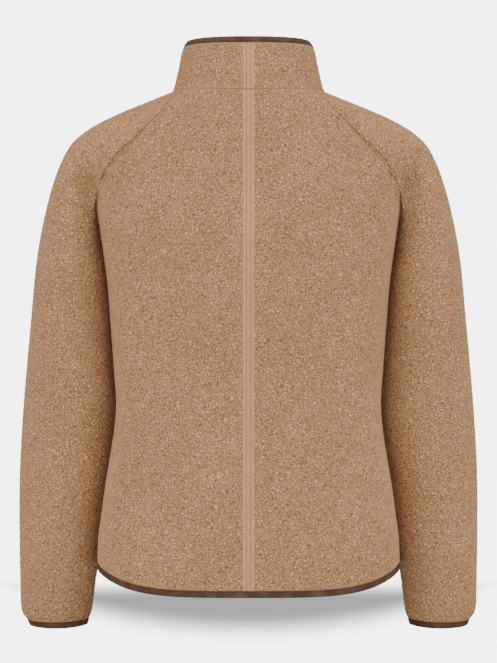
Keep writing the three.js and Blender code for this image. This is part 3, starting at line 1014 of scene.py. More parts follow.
def stitch_group() -> NodeTree:
    """Geometry nodes that sew a row of stitches along a line.

    Returns:
        The group. It lays an arched stitch at every pitch, square to the cloth.
    """
    nodes = NodeTree.group(
        "stitch_row",
        "GeometryNodeTree",
        [
            ("Geometry", GEOMETRY),
            ("Pitch", FLOAT, 0.0032),
            ("Length", FLOAT, 0.0025),
            ("Thread", FLOAT, 0.00024),
            ("Arch", FLOAT, 0.0003),
            ("Material", MATERIAL),
        ],
        [("Geometry", GEOMETRY)],
    )
    line = nodes.add("GeometryNodeMeshToCurve", {0: nodes.given["Geometry"]})
    spaced = nodes.add(
        "GeometryNodeResampleCurve",
        {"Curve": line.outputs[0], "Length": nodes.given["Pitch"]},
        mode="LENGTH",
    )
    half = nodes.math("MULTIPLY", nodes.given["Length"], 0.5)
    sink = nodes.math("MULTIPLY", nodes.given["Thread"], -0.6)
    ends = [
        nodes.add("ShaderNodeCombineXYZ", {0: x, 2: z}).outputs[0]
        for x, z in ((nodes.math("MULTIPLY", half, -1.0), sink), (0.0, nodes.given["Arch"]), (half, sink))
    ]
    arc = nodes.add(
        "GeometryNodeCurveQuadraticBezier",
        {"Resolution": 4, "Start": ends[0], "Middle": ends[1], "End": ends[2]},
    )
    thread = nodes.add(
        "GeometryNodeCurvePrimitiveCircle",
        {"Resolution": 5, "Radius": nodes.given["Thread"]},
        mode="RADIUS",
    )
    stitch = nodes.add(
        "GeometryNodeCurveToMesh",
        {"Curve": arc.outputs[0], "Profile Curve": thread.outputs[0], "Fill Caps": True},
    )
    along = nodes.add(
        "FunctionNodeAlignRotationToVector",
        {"Vector": nodes.add("GeometryNodeInputTangent").outputs[0]},
        axis="X",
    )
    up = nodes.add("GeometryNodeInputNamedAttribute", {"Name": "out"}, data_type="FLOAT_VECTOR").outputs[0]
    turned = nodes.add(
        "FunctionNodeAlignRotationToVector",
        {"Rotation": along.outputs[0], "Vector": up},
        axis="Z",
        pivot_axis="X",
    )
    row = nodes.add(
        "GeometryNodeInstanceOnPoints",
        {"Points": spaced.outputs[0], "Instance": stitch.outputs[0], "Rotation": turned.outputs[0]},
    )
    real = nodes.add("GeometryNodeRealizeInstances", {0: row.outputs[0]})
    made = nodes.add(
        "GeometryNodeSetMaterial", {"Geometry": real.outputs[0], "Material": nodes.given["Material"]}
    )
    nodes.put(made.outputs[0], nodes.result[0])
    return nodes


def grown(mesh: bpy.types.Mesh, name: str, group: NodeTree, **inputs: Value) -> bpy.types.Object:
    """Runs a mesh through a geometry node group, and keeps the result as a plain mesh.

    Args:
        mesh: What goes in.
        name: The new object's name.
        group: The node group.
        inputs: The group's inputs by name.

    Returns:
        The new object.
    """
    source = bpy.data.objects.new(name + "_source", mesh)
    bpy.context.scene.collection.objects.link(source)
    modifier = source.modifiers.new("nodes", "NODES")
    modifier.node_group = group.tree
    sockets = {s.name: s.identifier for s in group.tree.interface.items_tree if s.in_out == "INPUT"}
    for key, value in inputs.items():
        modifier[sockets[key]] = value
    evaluated = source.evaluated_get(bpy.context.evaluated_depsgraph_get())
    result = bpy.data.meshes.new_from_object(evaluated)
    result.name = name
    source.modifiers.remove(modifier)
    bpy.data.objects.remove(source)
    bpy.data.meshes.remove(mesh)
    result.shade_smooth()
    made = bpy.data.objects.new(name, result)
    bpy.context.scene.collection.objects.link(made)
    return made


def srgb(red: float, green: float, blue: float) -> tuple[float, float, float, float]:
    """A colour as a screen shows it, 0 to 255, in the renderer's own linear values."""
    linear = [((c / 255 + 0.055) / 1.055) ** 2.4 if c > 10 else c / 255 / 12.92 for c in (red, green, blue)]
    return (*linear, 1.0)


@dataclass(frozen=True)
class Finish:
    """The colours of a cloth: a darker one for its gaps and hollows, painted there as shade; its own colour
    over most of it; and a lighter one for its tips, painted as highlight on the pile's curl tops and also
    used for random lighter fibre and wear.
    """

    gap: tuple
    middle: tuple
    tip: tuple


# Painted light on the pile: the gap colour is painted shade between the curls and along the seams, and the
# tip colour is painted highlight on the curls' tops as well as random lighter fibre.
PILE_COLOURS = Finish(srgb(99, 66, 41), srgb(180, 136, 97), srgb(207, 166, 126))
# On the tapes and the thread, the gap colour is painted shade in the knit's hollows, and the tip colour is
# random wear.
TAPE_COLOURS = Finish(srgb(61, 42, 31), srgb(94, 68, 53), srgb(118, 90, 74))
THREAD_COLOURS = Finish(srgb(70, 48, 32), srgb(112, 80, 56), srgb(140, 104, 76))


def fibre_group() -> NodeTree:
    """Shader nodes for the fine fibre on top of the curls.

    Returns:
        The group, with a height for bump and a mask for its colour.
    """
    nodes = NodeTree.group(
        "fine_fibre",
        "ShaderNodeTree",
        [("Vector", VECTOR), ("Size", FLOAT, 0.0012)],
        [("Height", FLOAT), ("Mask", FLOAT)],
    )
    scale = nodes.math("DIVIDE", 1.0, nodes.given["Size"])
    wisps = nodes.noise(nodes.given["Vector"], 100.0, 2.0, 0.6)
    nodes.put(scale, wisps.inputs["Scale"])
    cells = nodes.add(
        "ShaderNodeTexVoronoi", {"Vector": nodes.given["Vector"], "Scale": scale}, feature="F1"
    )
    tufts = nodes.ranged(cells.outputs["Distance"], 0.1, 0.8, (1.0, 0.0))
    height = nodes.math(
        "ADD", nodes.math("MULTIPLY", tufts, 0.6), nodes.math("MULTIPLY", wisps.outputs[0], 0.4)
    )
    nodes.put(height, nodes.result["Height"])
    nodes.put(nodes.ranged(wisps.outputs[0], 0.3, 0.7), nodes.result["Mask"])
    return nodes


def knit_group() -> NodeTree:
    """Shader nodes for a fine knitted face.

    Returns:
        The group, with a height for bump in small slanting loops.
    """
    nodes = NodeTree.group(
        "fine_knit", "ShaderNodeTree", [("Vector", VECTOR), ("Gauge", FLOAT, 0.0011)], [("Height", FLOAT)]
    )
    scale = nodes.math("DIVIDE", 0.5, nodes.given["Gauge"])
    waves = [
        nodes.add(
            "ShaderNodeTexWave",
            {"Vector": nodes.given["Vector"], "Scale": scale, "Distortion": 1.2, "Detail": 1.0},
            wave_type="BANDS",
            bands_direction=direction,
        ).outputs["Fac"]
        for direction in ("DIAGONAL", "Z")
    ]
    nodes.put(nodes.math("MULTIPLY", *waves), nodes.result["Height"])
    return nodes


class Paint:
    """Makes the materials."""

    def __init__(self) -> None:
        """Makes the shader groups that the materials share."""
        self._fibre, self._knit = fibre_group(), knit_group()

    def _material(self, name: str) -> tuple[bpy.types.Material, NodeTree, bpy.types.Node]:
        """A new material, its node tree and its shader."""
        made = bpy.data.materials.new(name)
        made.use_nodes = True
        nodes = NodeTree(made.node_tree)
        return made, nodes, made.node_tree.nodes["Principled BSDF"]

    def _mix(
        self, nodes: NodeTree, share: Value, low: Value, high: Value, blend: str = "MIX"
    ) -> bpy.types.NodeSocket:
        """Two colours mixed."""
        node = nodes.add("ShaderNodeMix", {0: share, 6: low, 7: high}, data_type="RGBA", blend_type=blend)
        return node.outputs[2]

    def _bump(
        self, nodes: NodeTree, height: Value, distance: float, strength: Value, normal: Value = None
    ) -> Any:
        """A height as bump, on top of an earlier one where there is one."""
        node = nodes.add("ShaderNodeBump", {"Height": height, "Distance": distance, "Strength": strength})
        if normal is not None:
            nodes.put(normal, node.inputs["Normal"])
        return node.outputs[0]

    def _group(self, nodes: NodeTree, group: NodeTree, **inputs: Value) -> bpy.types.Node:
        """A node group in a tree, with its inputs set or joined by name."""
        node = nodes.add("ShaderNodeGroup", node_tree=group.tree)
        for key, value in inputs.items():
            nodes.put(value, node.inputs[key])
        return node

    def pile(self) -> bpy.types.Material:
        """Curly pile outside, with painted shade in its gaps and along its seams and painted highlight on
        its curls' tops, and its knitted backing inside.
        """
        made, nodes, shader = self._material("sherpa_pile")
        place = nodes.add("ShaderNodeAttribute", attribute_name="rest").outputs["Vector"]
        curl = curl_height(nodes, place)
        standing = nodes.add("ShaderNodeAttribute", attribute_name="pile").outputs["Fac"]
        inside = nodes.add("ShaderNodeAttribute", attribute_name="inside").outputs["Fac"]
        fibre = self._group(nodes, self._fibre, Vector=place, Size=0.0016)
        # Painted shade: where the pile stands, the gaps between the curls are darkened towards the gap
        # colour.
        gap = nodes.ranged(curl, 0.06, 0.38, (1.0, 0.0))
        # Painted highlight: the curls' tops are lightened towards the tip colour.
        tip = nodes.ranged(curl, 0.55, 0.92)
        colour = self._mix(nodes, nodes.math("MULTIPLY", tip, 0.35), PILE_COLOURS.middle, PILE_COLOURS.tip)
        fine = nodes.math("MULTIPLY", fibre.outputs["Mask"], 0.22)
        colour = self._mix(nodes, fine, colour, PILE_COLOURS.tip)
        colour = self._mix(
            nodes,
            nodes.math("MULTIPLY", nodes.math("MULTIPLY", gap, standing), 0.95),
            colour,
            PILE_COLOURS.gap,
        )
        # Painted shade along the seams' grooves, darkening towards the gap colour.
        seam = nodes.math(
            "POWER", nodes.add("ShaderNodeAttribute", attribute_name="seam").outputs["Fac"], 1.6
        )
        colour = self._mix(nodes, nodes.math("MULTIPLY", seam, 0.7), colour, PILE_COLOURS.gap)
        patches = nodes.noise(place, 14.0, 3.0, 0.6).outputs[0]
        tone = nodes.ranged(patches, 0.3, 0.7, (0.95, 1.05))
        colour = self._mix(
            nodes,
            1.0,
            colour,
            nodes.add("ShaderNodeCombineColor", {0: tone, 1: tone, 2: tone}).outputs[0],
            "MULTIPLY",
        )
        nodes.put(colour, shader.inputs["Base Color"])
        knit = self._group(nodes, self._knit, Vector=place, Gauge=0.0016)
        outside = nodes.math("SUBTRACT", 1.0, inside)
        height = self._bump(
            nodes, curl, 0.0014, nodes.math("MULTIPLY", nodes.math("MULTIPLY", outside, standing), 1.0)
        )
        height = self._bump(
            nodes, fibre.outputs["Height"], 0.0004, nodes.math("MULTIPLY", outside, 0.6), height
        )
        height = self._bump(
            nodes, knit.outputs["Height"], 0.0003, nodes.math("MULTIPLY", inside, 0.7), height
        )
        nodes.put(height, shader.inputs["Normal"])
        self._cloth_surface(shader, 0.95, 0.25, PILE_COLOURS.tip)
        return made

    def _cloth_surface(self, shader: bpy.types.Node, rough: float, sheen: float, tint: tuple) -> None:
        """Gives a shader the matt, slightly downy surface of cloth.

        Args:
            shader: The shader.
            rough: Its roughness.
            sheen: How downy it is.
            tint: The down's colour.
        """
        shader.inputs["Roughness"].default_value = rough
        shader.inputs["Specular IOR Level"].default_value = 0.12
        shader.inputs["Sheen Weight"].default_value = sheen
        shader.inputs["Sheen Roughness"].default_value = 0.6
        shader.inputs["Sheen Tint"].default_value = tint

    def tape(self, name: str, colours: Finish, gauge: float) -> bpy.types.Material:
        """Smooth knitted tape, or thread, with painted shade in the knit's hollows.

        Args:
            name: The material's name.
            colours: Its colours.
            gauge: How wide one loop of the knit is, in metres.

        Returns:
            The material.
        """
        made, nodes, shader = self._material(name)
        place = nodes.add("ShaderNodeTexCoord").outputs["Object"]
        knit = self._group(nodes, self._knit, Vector=place, Gauge=gauge)
        # Painted shade: the knit's hollows are darkened towards the gap colour.
        colour = self._mix(
            nodes, nodes.ranged(knit.outputs["Height"], 0.1, 0.8), colours.gap, colours.middle
        )
        wear = nodes.ranged(nodes.noise(place, 60.0, 3.0).outputs[0], 0.35, 0.8, (0.0, 0.35))
        nodes.put(self._mix(nodes, wear, colour, colours.tip), shader.inputs["Base Color"])
        nodes.put(self._bump(nodes, knit.outputs["Height"], 0.00022, 0.6), shader.inputs["Normal"])
        self._cloth_surface(shader, 0.75, 0.15, colours.tip)
        return made


@dataclass(frozen=True)
class Cut:
    """The flat cut of a piece of cloth, in metres, with its area where it isn't a rectangle."""

    width: float
    length: float
    area: Optional[float] = None


@dataclass
class Tailor:
    """Makes the pieces, and hides the imported parts that the cloth and tape pieces take the place of."""

    pile: NodeTree
    stitches: NodeTree
    cloth_material: bpy.types.Material
    tape_material: bpy.types.Material
    cloth_thread: bpy.types.Material
    tape_thread: bpy.types.Material

    @classmethod
    def with_finishes(cls) -> "Tailor":
        """A tailor with the pullover's own materials and node groups."""
        paint = Paint()
        return cls(
            pile_group(),
            stitch_group(),
            paint.pile(),
            paint.tape("knitted_tape", TAPE_COLOURS, 0.0009),
            paint.tape("cloth_thread", THREAD_COLOURS, 0.0004),
            paint.tape("tape_thread", TAPE_COLOURS, 0.0004),
        )

    def _finish(self, made: bpy.types.Object) -> None:
        """Hangs a piece from the root body, and logs how many faces it has."""
        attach(made, "root")
        LOG.info("%s: %d faces", made.name, len(made.data.polygons))

    def cloth(self, name: str, node: str, cloth: Cloth, cut: Cut) -> bpy.types.Object:
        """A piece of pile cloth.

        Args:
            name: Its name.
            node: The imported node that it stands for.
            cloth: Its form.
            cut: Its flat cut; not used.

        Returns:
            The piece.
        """
        made = grown(shell(name, cloth), name, self.pile, Material=self.cloth_material)
        self._finish(made)
        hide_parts(node)
        return made

    def tape(self, name: str, node: str, edge: Edge, cut: Cut) -> bpy.types.Object:
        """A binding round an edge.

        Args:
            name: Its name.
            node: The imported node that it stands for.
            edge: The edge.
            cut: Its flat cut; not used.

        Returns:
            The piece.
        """
        mesh = TAPE.mesh(name, edge)
        mesh.materials.append(self.tape_material)
        made = bpy.data.objects.new(name, mesh)
        bpy.context.scene.collection.objects.link(made)
        self._finish(made)
        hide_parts(node)
        return made

    def seam(
        self, name: str, lines: Iterable[tuple[np.ndarray, np.ndarray]], slot: Slot
    ) -> bpy.types.Object:
        """Rows of stitches.

        Args:
            name: The rows' name.
            lines: The points of each row, and which way is out of the cloth there.
            slot: The slot of the cloth that it is sewn in, whose thread it uses.

        Returns:
            The stitches as one piece.
        """
        points, out, edges, start = [], [], [], 0
        for line, normal in lines:
            points.append(line)
            out.append(normal)
            edges += [(start + i, start + i + 1) for i in range(len(line) - 1)]
            start += len(line)
        mesh = bpy.data.meshes.new(name)
        mesh.from_pydata((np.concatenate(points) * MM).tolist(), edges, [])
        store(mesh, "out", np.concatenate(out))
        thread = self.cloth_thread if slot is Slot.PILE else self.tape_thread
        made = grown(mesh, name, self.stitches, Material=thread)
        self._finish(made)
        return made


@dataclass(frozen=True)
class Tape:
    """A folded binding.

    Attributes:
        on: How far on past the cloth's edge each point of a leg's outline is.
        out: How far out from the cloth it stands.
        stitch: Where on the leg its stitches are.
        bend_points: The points of the bend over the edge.
        bend_start: How far back the bend begins.
        bend_square: How square the bend is: 1 is round.
        stitch_depth: How far out the stitches lie.
    """

    on: tuple[float, ...] = (-8.0, -7.95, -7.7, -7.3, -6.9, -6.6, -6.3, -6.0, -5.5, -4.4, -2.8, -1.2)
    out: tuple[float, ...] = (0.25, 0.62, 0.9, 0.98, 0.9, 0.78, 0.74, 0.82, 0.97, 1.04, 1.05, 1.03)
    stitch: float = -6.3
    bend_points: int = 12
    bend_start: float = 0.4
    bend_square: float = 0.8
    stitch_depth: float = 0.84

    def section(self) -> np.ndarray:
        """The section of a folded binding: how far out of the cloth's face and how far past its cut edge."""
        outer = -PRESSED_TOP + BINDING.clearance
        inner = -PRESSED_TOP - BOUND_CLOTH - BINDING.clearance
        on, out = np.array(self.on), np.array(self.out)
        half, centre = (outer + BINDING.leg - inner + BINDING.leg) / 2, (outer + inner) / 2
        turn = np.linspace(0, math.pi, self.bend_points)
        top = BINDING.clearance + BINDING.fold
        bend = np.stack(
            [
                centre + half * np.sign(np.cos(turn)) * np.abs(np.cos(turn)) ** self.bend_square,
                -self.bend_start + (top + self.bend_start) * np.abs(np.sin(turn)) ** self.bend_square,
            ],
            -1,
        )
        legs = [np.stack([outer + out, on], -1), np.stack([inner - out, on], -1)[::-1]]
        lining = [
            (inner, -BINDING.height),
            (inner, BINDING.clearance),
            (outer, BINDING.clearance),
            (outer, -BINDING.height),
        ]
        return np.concatenate([legs[0], bend, legs[1], np.array(lining)])

    def mesh(self, name: str, edge: Edge) -> bpy.types.Mesh:
        """A binding swept round an edge.

        Args:
            name: The mesh's name.
            edge: The edge.

        Returns:
            The mesh.
        """
        section = self.section()
        points = (
            edge.point[:, None]
            + edge.normal[:, None] * section[None, :, :1]
            + edge.past[:, None] * section[None, :, 1:]
        )
        index = np.arange(points[..., 0].size).reshape(points.shape[:2])
        index = np.concatenate([index, index[:1]], axis=0)
        index = np.concatenate([index, index[:, :1]], axis=1)
        faces = Faces()
        faces.grid(index.T)
        return faces.mesh(name, points.reshape(-1, 3))

    def stitches(self, edge: Edge, inner: bool = True) -> list[tuple[np.ndarray, np.ndarray]]:
        """The rows that hold a binding.

        Args:
            edge: The bound edge.
            inner: Whether there is a row on the inner face as well.

        Returns:
            Each row's points, and which way is out of the tape there.
        """
        outer = -PRESSED_TOP + BINDING.clearance + self.stitch_depth
        within = -PRESSED_TOP - BOUND_CLOTH - BINDING.clearance - self.stitch_depth
        rows = [(ring(edge.line(outer, self.stitch)), ring(edge.normal))]
        if inner:
            rows.append((ring(edge.line(within, self.stitch)), -ring(edge.normal)))
        return rows


TAPE = Tape()


def ring(line: np.ndarray) -> np.ndarray:
    """A closed line, with its first point again at its end."""
    return np.concatenate([line, line[:1]])


@dataclass(frozen=True)
class BodyPanels:
    """The back's two halves and the front."""

    back_rows: tuple[int, int] = (309, 164)
    back_columns: int = 142
    back_crowding: float = 1.16
    front_rows: tuple[int, int] = (165, 96)
    front_columns: int = 97
    front_crowding: float = 1.12
    yoke_crowding: float = 1.08
    flattened: float = 16.0
    flattened_share: float = 0.45
    flattened_below: float = -150.0
    hem_count: int = 560
    back_cut: Cut = Cut(0.29, 0.70, 0.161)
    front_cut: Cut = Cut(0.56, 0.68, 0.315)

    def make(self, tailor: Tailor) -> None:
        """Makes the three panels."""
        back = self.half_back()
        tailor.cloth("back_left_cloth", "back_left", back, self.back_cut)
        tailor.cloth("back_right_cloth", "back_right", back.mirrored(), self.back_cut)
        tailor.cloth("front_cloth", "front", self.front(), self.front_cut)

    def heights(self, body_rows: int, yoke_rows: int, side: int) -> np.ndarray:
        """The heights of a body panel's rows, from the hem to the neckline.

        Args:
            body_rows: How many rows there are below the armpit.
            yoke_rows: How many above it.
            side: 1 for the back and -1 for the front.

        Returns:
            The heights.
        """
        bound = BODY_FORM.hem.height + bound_rows()
        below = np.linspace(bound[-1], ARMPIT, body_rows - len(bound) + 2)[1:-1]
        shares = np.linspace(0, 1, yoke_rows) ** self.yoke_crowding
        return np.concatenate([bound, below, BODY_FORM.seam_heights(shares, side)])

    def panel(self, heights: np.ndarray, angles: np.ndarray, side: int) -> Cloth:
        """A panel of the body.

        Args:
            heights: The heights of its rows.
            angles: The angles of its corners, one row for each height, in rising order.
            side: 1 for the back and -1 for the front.

        Returns:
            Its cloth, with the hem's edge pressed and the neckline's edge dipped.
        """
        point = BODY_FORM.point(heights[:, None], angles)
        at = BODY_FORM.frames(heights[:, None], angles)
        normal, thickness = at.normal.copy(), np.full(angles.shape, CLOTH)
        normal[-1], thickness[-1] = neck_wall(angles[-1])
        point[-1] -= at.up[-1] * SEAM_GAP / 2
        sunk, bound_thickness, pile = bound_shape(heights - BODY_FORM.hem.height)
        thickness += (bound_thickness - CLOTH)[:, None]
        climbed = row_lengths(point, 0)
        neck_sunk, neck_pile, neck_seam = dip(climbed[-1:] - climbed)
        sunk = np.maximum(sunk[:, None], neck_sunk)
        return Cloth(point, normal, thickness, sunk, pile[:, None] * neck_pile, neck_seam)

    def seam_edge(self, cloth: Cloth, column: int, heights: np.ndarray, side: int, mirror: int) -> None:
        """Draws a panel's edge back from its side and raglan seams, and dips the cloth there.

        Args:
            cloth: The panel.
            column: The edge's column, 0 or -1.
            heights: The heights of its rows.
            side: 1 for the back and -1 for the front.
            mirror: 1 on the wearer's left and -1 on the right.
        """
        beside = BODY_FORM.seam_side(heights, side)
        into = np.where((heights <= ARMPIT)[:, None], np.array([0.0, side, 0.0]), beside)
        cloth.point[:, column] += into * np.array([mirror, 1, 1]) * SEAM_GAP / 2
        run = row_lengths(cloth.point, 1)
        distance = run if column == 0 else run[:, -1:] - run
        slant = np.where(heights < ARMPIT, 1.0, 0.8)[:, None]
        sunk, pile, seam = dip(distance * slant)
        cloth.seam = np.maximum(cloth.seam, seam)
        cloth.sunk = np.maximum(cloth.sunk, sunk * np.minimum(1, cloth.pile + 0.4))
        cloth.pile = cloth.pile * pile

    def half_back(self) -> Cloth:
        """The left half of the back.

        Returns:
            Its cloth, from the side round to the centre seam.
        """
        heights = self.heights(*self.back_rows, 1)
        across = STRIP_COLUMNS / BODY.back(heights)[:, None]
        near = math.pi / 2 - np.arcsin(across)
        shares = np.linspace(0, 1, self.back_columns) ** self.back_crowding
        far = BODY_FORM.even_angles(heights, BODY_FORM.seam_angle(heights, 1), near[:, -1], shares)
        angles = np.concatenate([far, near[:, :-1][:, ::-1]], axis=1)
        cloth = self.panel(heights, angles, 1)
        strip_sunk, strip_pile = strip_shape(cloth.point[..., 0])
        cloth.sunk = np.maximum(cloth.sunk, strip_sunk)
        cloth.pile = cloth.pile * strip_pile
        self.seam_edge(cloth, 0, heights, 1, 1)
        worn = bell(cloth.point[..., 0] - BODY.half_width(heights)[:, None], self.flattened)
        low = (heights < self.flattened_below)[:, None]
        cloth.pile = cloth.pile * (1 - self.flattened_share * worn * low)
        return cloth

    def front(self) -> Cloth:
        """The front.

        Returns:
            Its cloth, from the wearer's right side round to the left.
        """
        heights = self.heights(*self.front_rows, -1)
        edge = BODY_FORM.seam_angle(heights, -1)
        half = np.linspace(0, 1, self.front_columns) ** self.front_crowding / 2
        shares = np.concatenate([half, 1 - half[-2::-1]])
        angles = BODY_FORM.even_angles(heights, -math.pi - edge, edge, shares)
        cloth = self.panel(heights, angles, -1)
        self.seam_edge(cloth, 0, heights, -1, -1)
        self.seam_edge(cloth, -1, heights, -1, 1)
        return cloth

    def hem(self) -> Edge:
        """The hem.

        Returns:
            Its edge, in stations of even length.
        """
        dense = np.linspace(0, 2 * math.pi, 2001)
        points = BODY_FORM.point(BODY_FORM.hem.height, dense)
        run = np.concatenate([[0], np.cumsum(np.linalg.norm(np.diff(points, axis=0), axis=1))])
        angle = np.interp(np.linspace(0, run[-1], self.hem_count, endpoint=False), run, dense)[::-1]
        at = BODY_FORM.frames(BODY_FORM.hem.height, angle)
        return Edge(BODY_FORM.point(BODY_FORM.hem.height, angle), at.normal, -at.up)


@dataclass
class Loop:
    """The line that a sleeve is sewn along: up the back seam, over the neckline and down the front seam.

    Attributes:
        height: The body's height at each station.
        angle: Its angle round the body.
        around: How far round the arm it is.
        side: 1 on the back's seam, -1 on the front's and 0 on the neckline.
        share: How far up its seam it is.
    """

    height: np.ndarray
    angle: np.ndarray
    around: np.ndarray
    side: np.ndarray
    share: np.ndarray


@dataclass(frozen=True)
class Leaving:
    """How the sleeve's cloth leaves the raglan seam, by shares of the seam's length from the armpit."""

    straight_up: float = 0.22
    outward_from: tuple[float, float] = (0.12, 0.26)
    outward_to: tuple[float, float] = (0.45, 0.68)
    turn: float = 20.0
    more_turn: float = 20.0
    turning: tuple[float, float] = (0.15, 0.5)


@dataclass(frozen=True)
class Evening:
    """Where the cap is evened out: degrees round the arm, shares of the cap, depths below the neckline."""

    angle_from: tuple[float, float] = (3, 12)
    angle_to: tuple[float, float] = (60, 86)
    cap_to: tuple[float, float] = (0.6, 0.9)
    depth_from: tuple[float, float] = (30, 75)
    passes: int = 150
    last_passes: int = 12


@dataclass(frozen=True)
class Meeting:
    """How the sleeve's cloth runs from over the body's form into the arm's."""

    soft: float = 12.0
    soft_from: float = 20.0
    soft_arm: float = 15.0
    rounding: float = 28.0
    body_ends: tuple[float, float] = (-235, -205)
    starts: float = 0.6
    starts_more: float = 4.4
    more_from: tuple[float, float] = (125, 165)
    depth_from: tuple[float, float] = (40, 85)


@dataclass(frozen=True)
class Sleeves:
    """The two sleeves, each from the cuff up to the raglan seam."""

    seam_columns: int = 78
    neck_columns: int = 76
    cap_rows: int = 162
    arm_rows: int = 198
    cuff_count: int = 190
    fold_cloth: float = 1.0
    fold_from: float = 3.0
    fold_to: tuple[float, float] = (25, 50)
    leaving: Leaving = Leaving()
    evening: Evening = Evening()
    meeting: Meeting = Meeting()
    slope: Slope = Slope()
    reach: float = 0.9
    over_shoulder: tuple[float, float] = (15, 60)
    cut: Cut = Cut(0.42, 0.75, 0.248)

    def make(self, tailor: Tailor) -> None:
        """Makes both sleeves."""
        arm = self.left()
        tailor.cloth("sleeve_left_cloth", "sleeve_left", arm, self.cut)
        tailor.cloth("sleeve_right_cloth", "sleeve_right", arm.mirrored(), self.cut)

    def loop(self) -> Loop:
        """The line that a sleeve is sewn along.

        Returns:
            The loop.
        """
        shares = crowded(np.linspace(0, 1, self.seam_columns + 1))
        back, front = BODY_FORM.seam_heights(shares, 1), BODY_FORM.seam_heights(shares, -1)
        back_angle, front_angle = BODY_FORM.seam_angle(back, 1), BODY_FORM.seam_angle(front, -1)
        across = np.linspace(0, 1, self.neck_columns + 1)[1:-1]
        neck_angle = back_angle[-1] + (front_angle[-1] - back_angle[-1]) * across
        neck_around = CORNER + (2 * math.pi - 2 * CORNER) * across
        fill = np.ones(len(across))
        return Loop(
            np.concatenate([back, 0 * fill, front[::-1][:-1]]),
            np.concatenate([back_angle, neck_angle, front_angle[::-1][:-1]]),
            np.concatenate([CORNER * shares, neck_around, 2 * math.pi - CORNER * shares[::-1][:-1]]),
            np.concatenate([np.ones(len(back)), 0 * fill, -np.ones(len(front) - 1)]),
            np.concatenate([shares, fill, shares[::-1][:-1]]),
        )

    def start(self, loop: Loop) -> tuple[np.ndarray, np.ndarray, np.ndarray, np.ndarray]:
        """A sleeve's own edge.

        Args:
            loop: The line that it is sewn along.

        Returns:
            Its points, the way that the cloth leaves the seam, the wall's direction and its thickness.
        """
        at = BODY_FORM.frames(loop.height, loop.angle)
        on_neck, side = loop.side == 0, np.where(loop.side == 0, 1, loop.side)
        rising = 1 - smoothstep(0, self.leaving.straight_up, loop.share)
        falling = np.maximum(0, -np.cos(math.pi * loop.share))
        tilt = np.where(on_neck, -math.pi / 2, math.pi / 2 * (rising - falling))[:, None]
        leaving = normalised(at.round * -side[:, None] * np.cos(tilt) + at.up * np.sin(tilt))
        outward = smoothstep(*self.leaving.outward_from, loop.share) * ~on_neck
        outward = outward * (1 - smoothstep(*self.leaving.outward_to, loop.share))
        low, high = np.maximum(loop.height - 0.5, ARMPIT), np.minimum(loop.height + 0.5, 0)
        above = BODY_FORM.point(high, BODY_FORM.seam_angle(high, side))
        along = above - BODY_FORM.point(low, BODY_FORM.seam_angle(low, side))
        more = self.leaving.more_turn * smoothstep(*self.leaving.turning, loop.share)
        turn = np.arctan2(-along[:, 0], along[:, 2]) + np.radians(self.leaving.turn + more)
        down = np.stack([np.sin(turn), 0 * turn, -np.cos(turn)], -1)
        leaving = normalised(leaving + (down - leaving) * outward[:, None])
        gap = np.where(on_neck[:, None], leaving, -BODY_FORM.seam_side(loop.height, side))
        gap = gap - at.up * ((loop.share == 1) & ~on_neck)[:, None]
        normal, thickness = at.normal.copy(), np.full(len(side), CLOTH)
        top = loop.height == 0
        normal[top], thickness[top] = neck_wall(loop.angle[top])
        point = BODY_FORM.point(loop.height, loop.angle) + gap * SEAM_GAP / 2
        return point, leaving, normal, thickness

    def cap(
        self, start: np.ndarray, leaving: np.ndarray, around: np.ndarray, shares: np.ndarray
    ) -> np.ndarray:
        """The sleeve's cap, from the raglan loop over the shoulder to the upper arm.

        Args:
            start: The loop's points.
            leaving: The way that the cloth leaves each.
            around: How far round the arm each is.
            shares: How far along the cap each row is.

        Returns:
            A grid of points, one row for each share.
        """
        end = ARM_FORM.point(UPPER_ARM, around)
        arriving = normalised(ARM_FORM.point(UPPER_ARM - 1, around) - end)
        direct = self.reach * np.linalg.norm(start - end, axis=1, keepdims=True)
        low, high = np.radians(self.over_shoulder)
        weight = smoothstep(low, high, np.minimum(around, 2 * math.pi - around))[:, None]

        def plain(t: float) -> np.ndarray:
            """The cap as one cubic, where it doesn't run over the shoulder."""
            return hermite(start, leaving * direct, end, arriving * direct, t)

        middle = plain(0.5) + (ARM_FORM.over_shoulder(around) - plain(0.5)) * weight
        outside = (((1 - np.cos(around)) / 2) ** 3)[:, None]
        slopes = 1 + (np.array([[self.slope.across, 1, self.slope.down]]) - 1) * outside
        plain_passing = (plain(0.52) - plain(0.48)) * (0.5 / 0.04)
        passing = plain_passing + ((end - start) * 0.5 * slopes - plain_passing) * weight
        easing = direct * 0.5 + (1 - direct * 0.5) * weight
        before = easing + (np.linalg.norm(start - middle, axis=1, keepdims=True) - easing) * weight
        after = easing + (np.linalg.norm(middle - end, axis=1, keepdims=True) - easing) * weight
        after = after * (1 + (self.slope.arriving - 1) * outside)
        share = shares[:, None, None]
        upper = hermite(start, leaving * before, middle, passing, 2 * share)
        lower = hermite(middle, passing, end, arriving * after, 2 * share - 1)
        return np.where(share < 0.5, upper, lower)

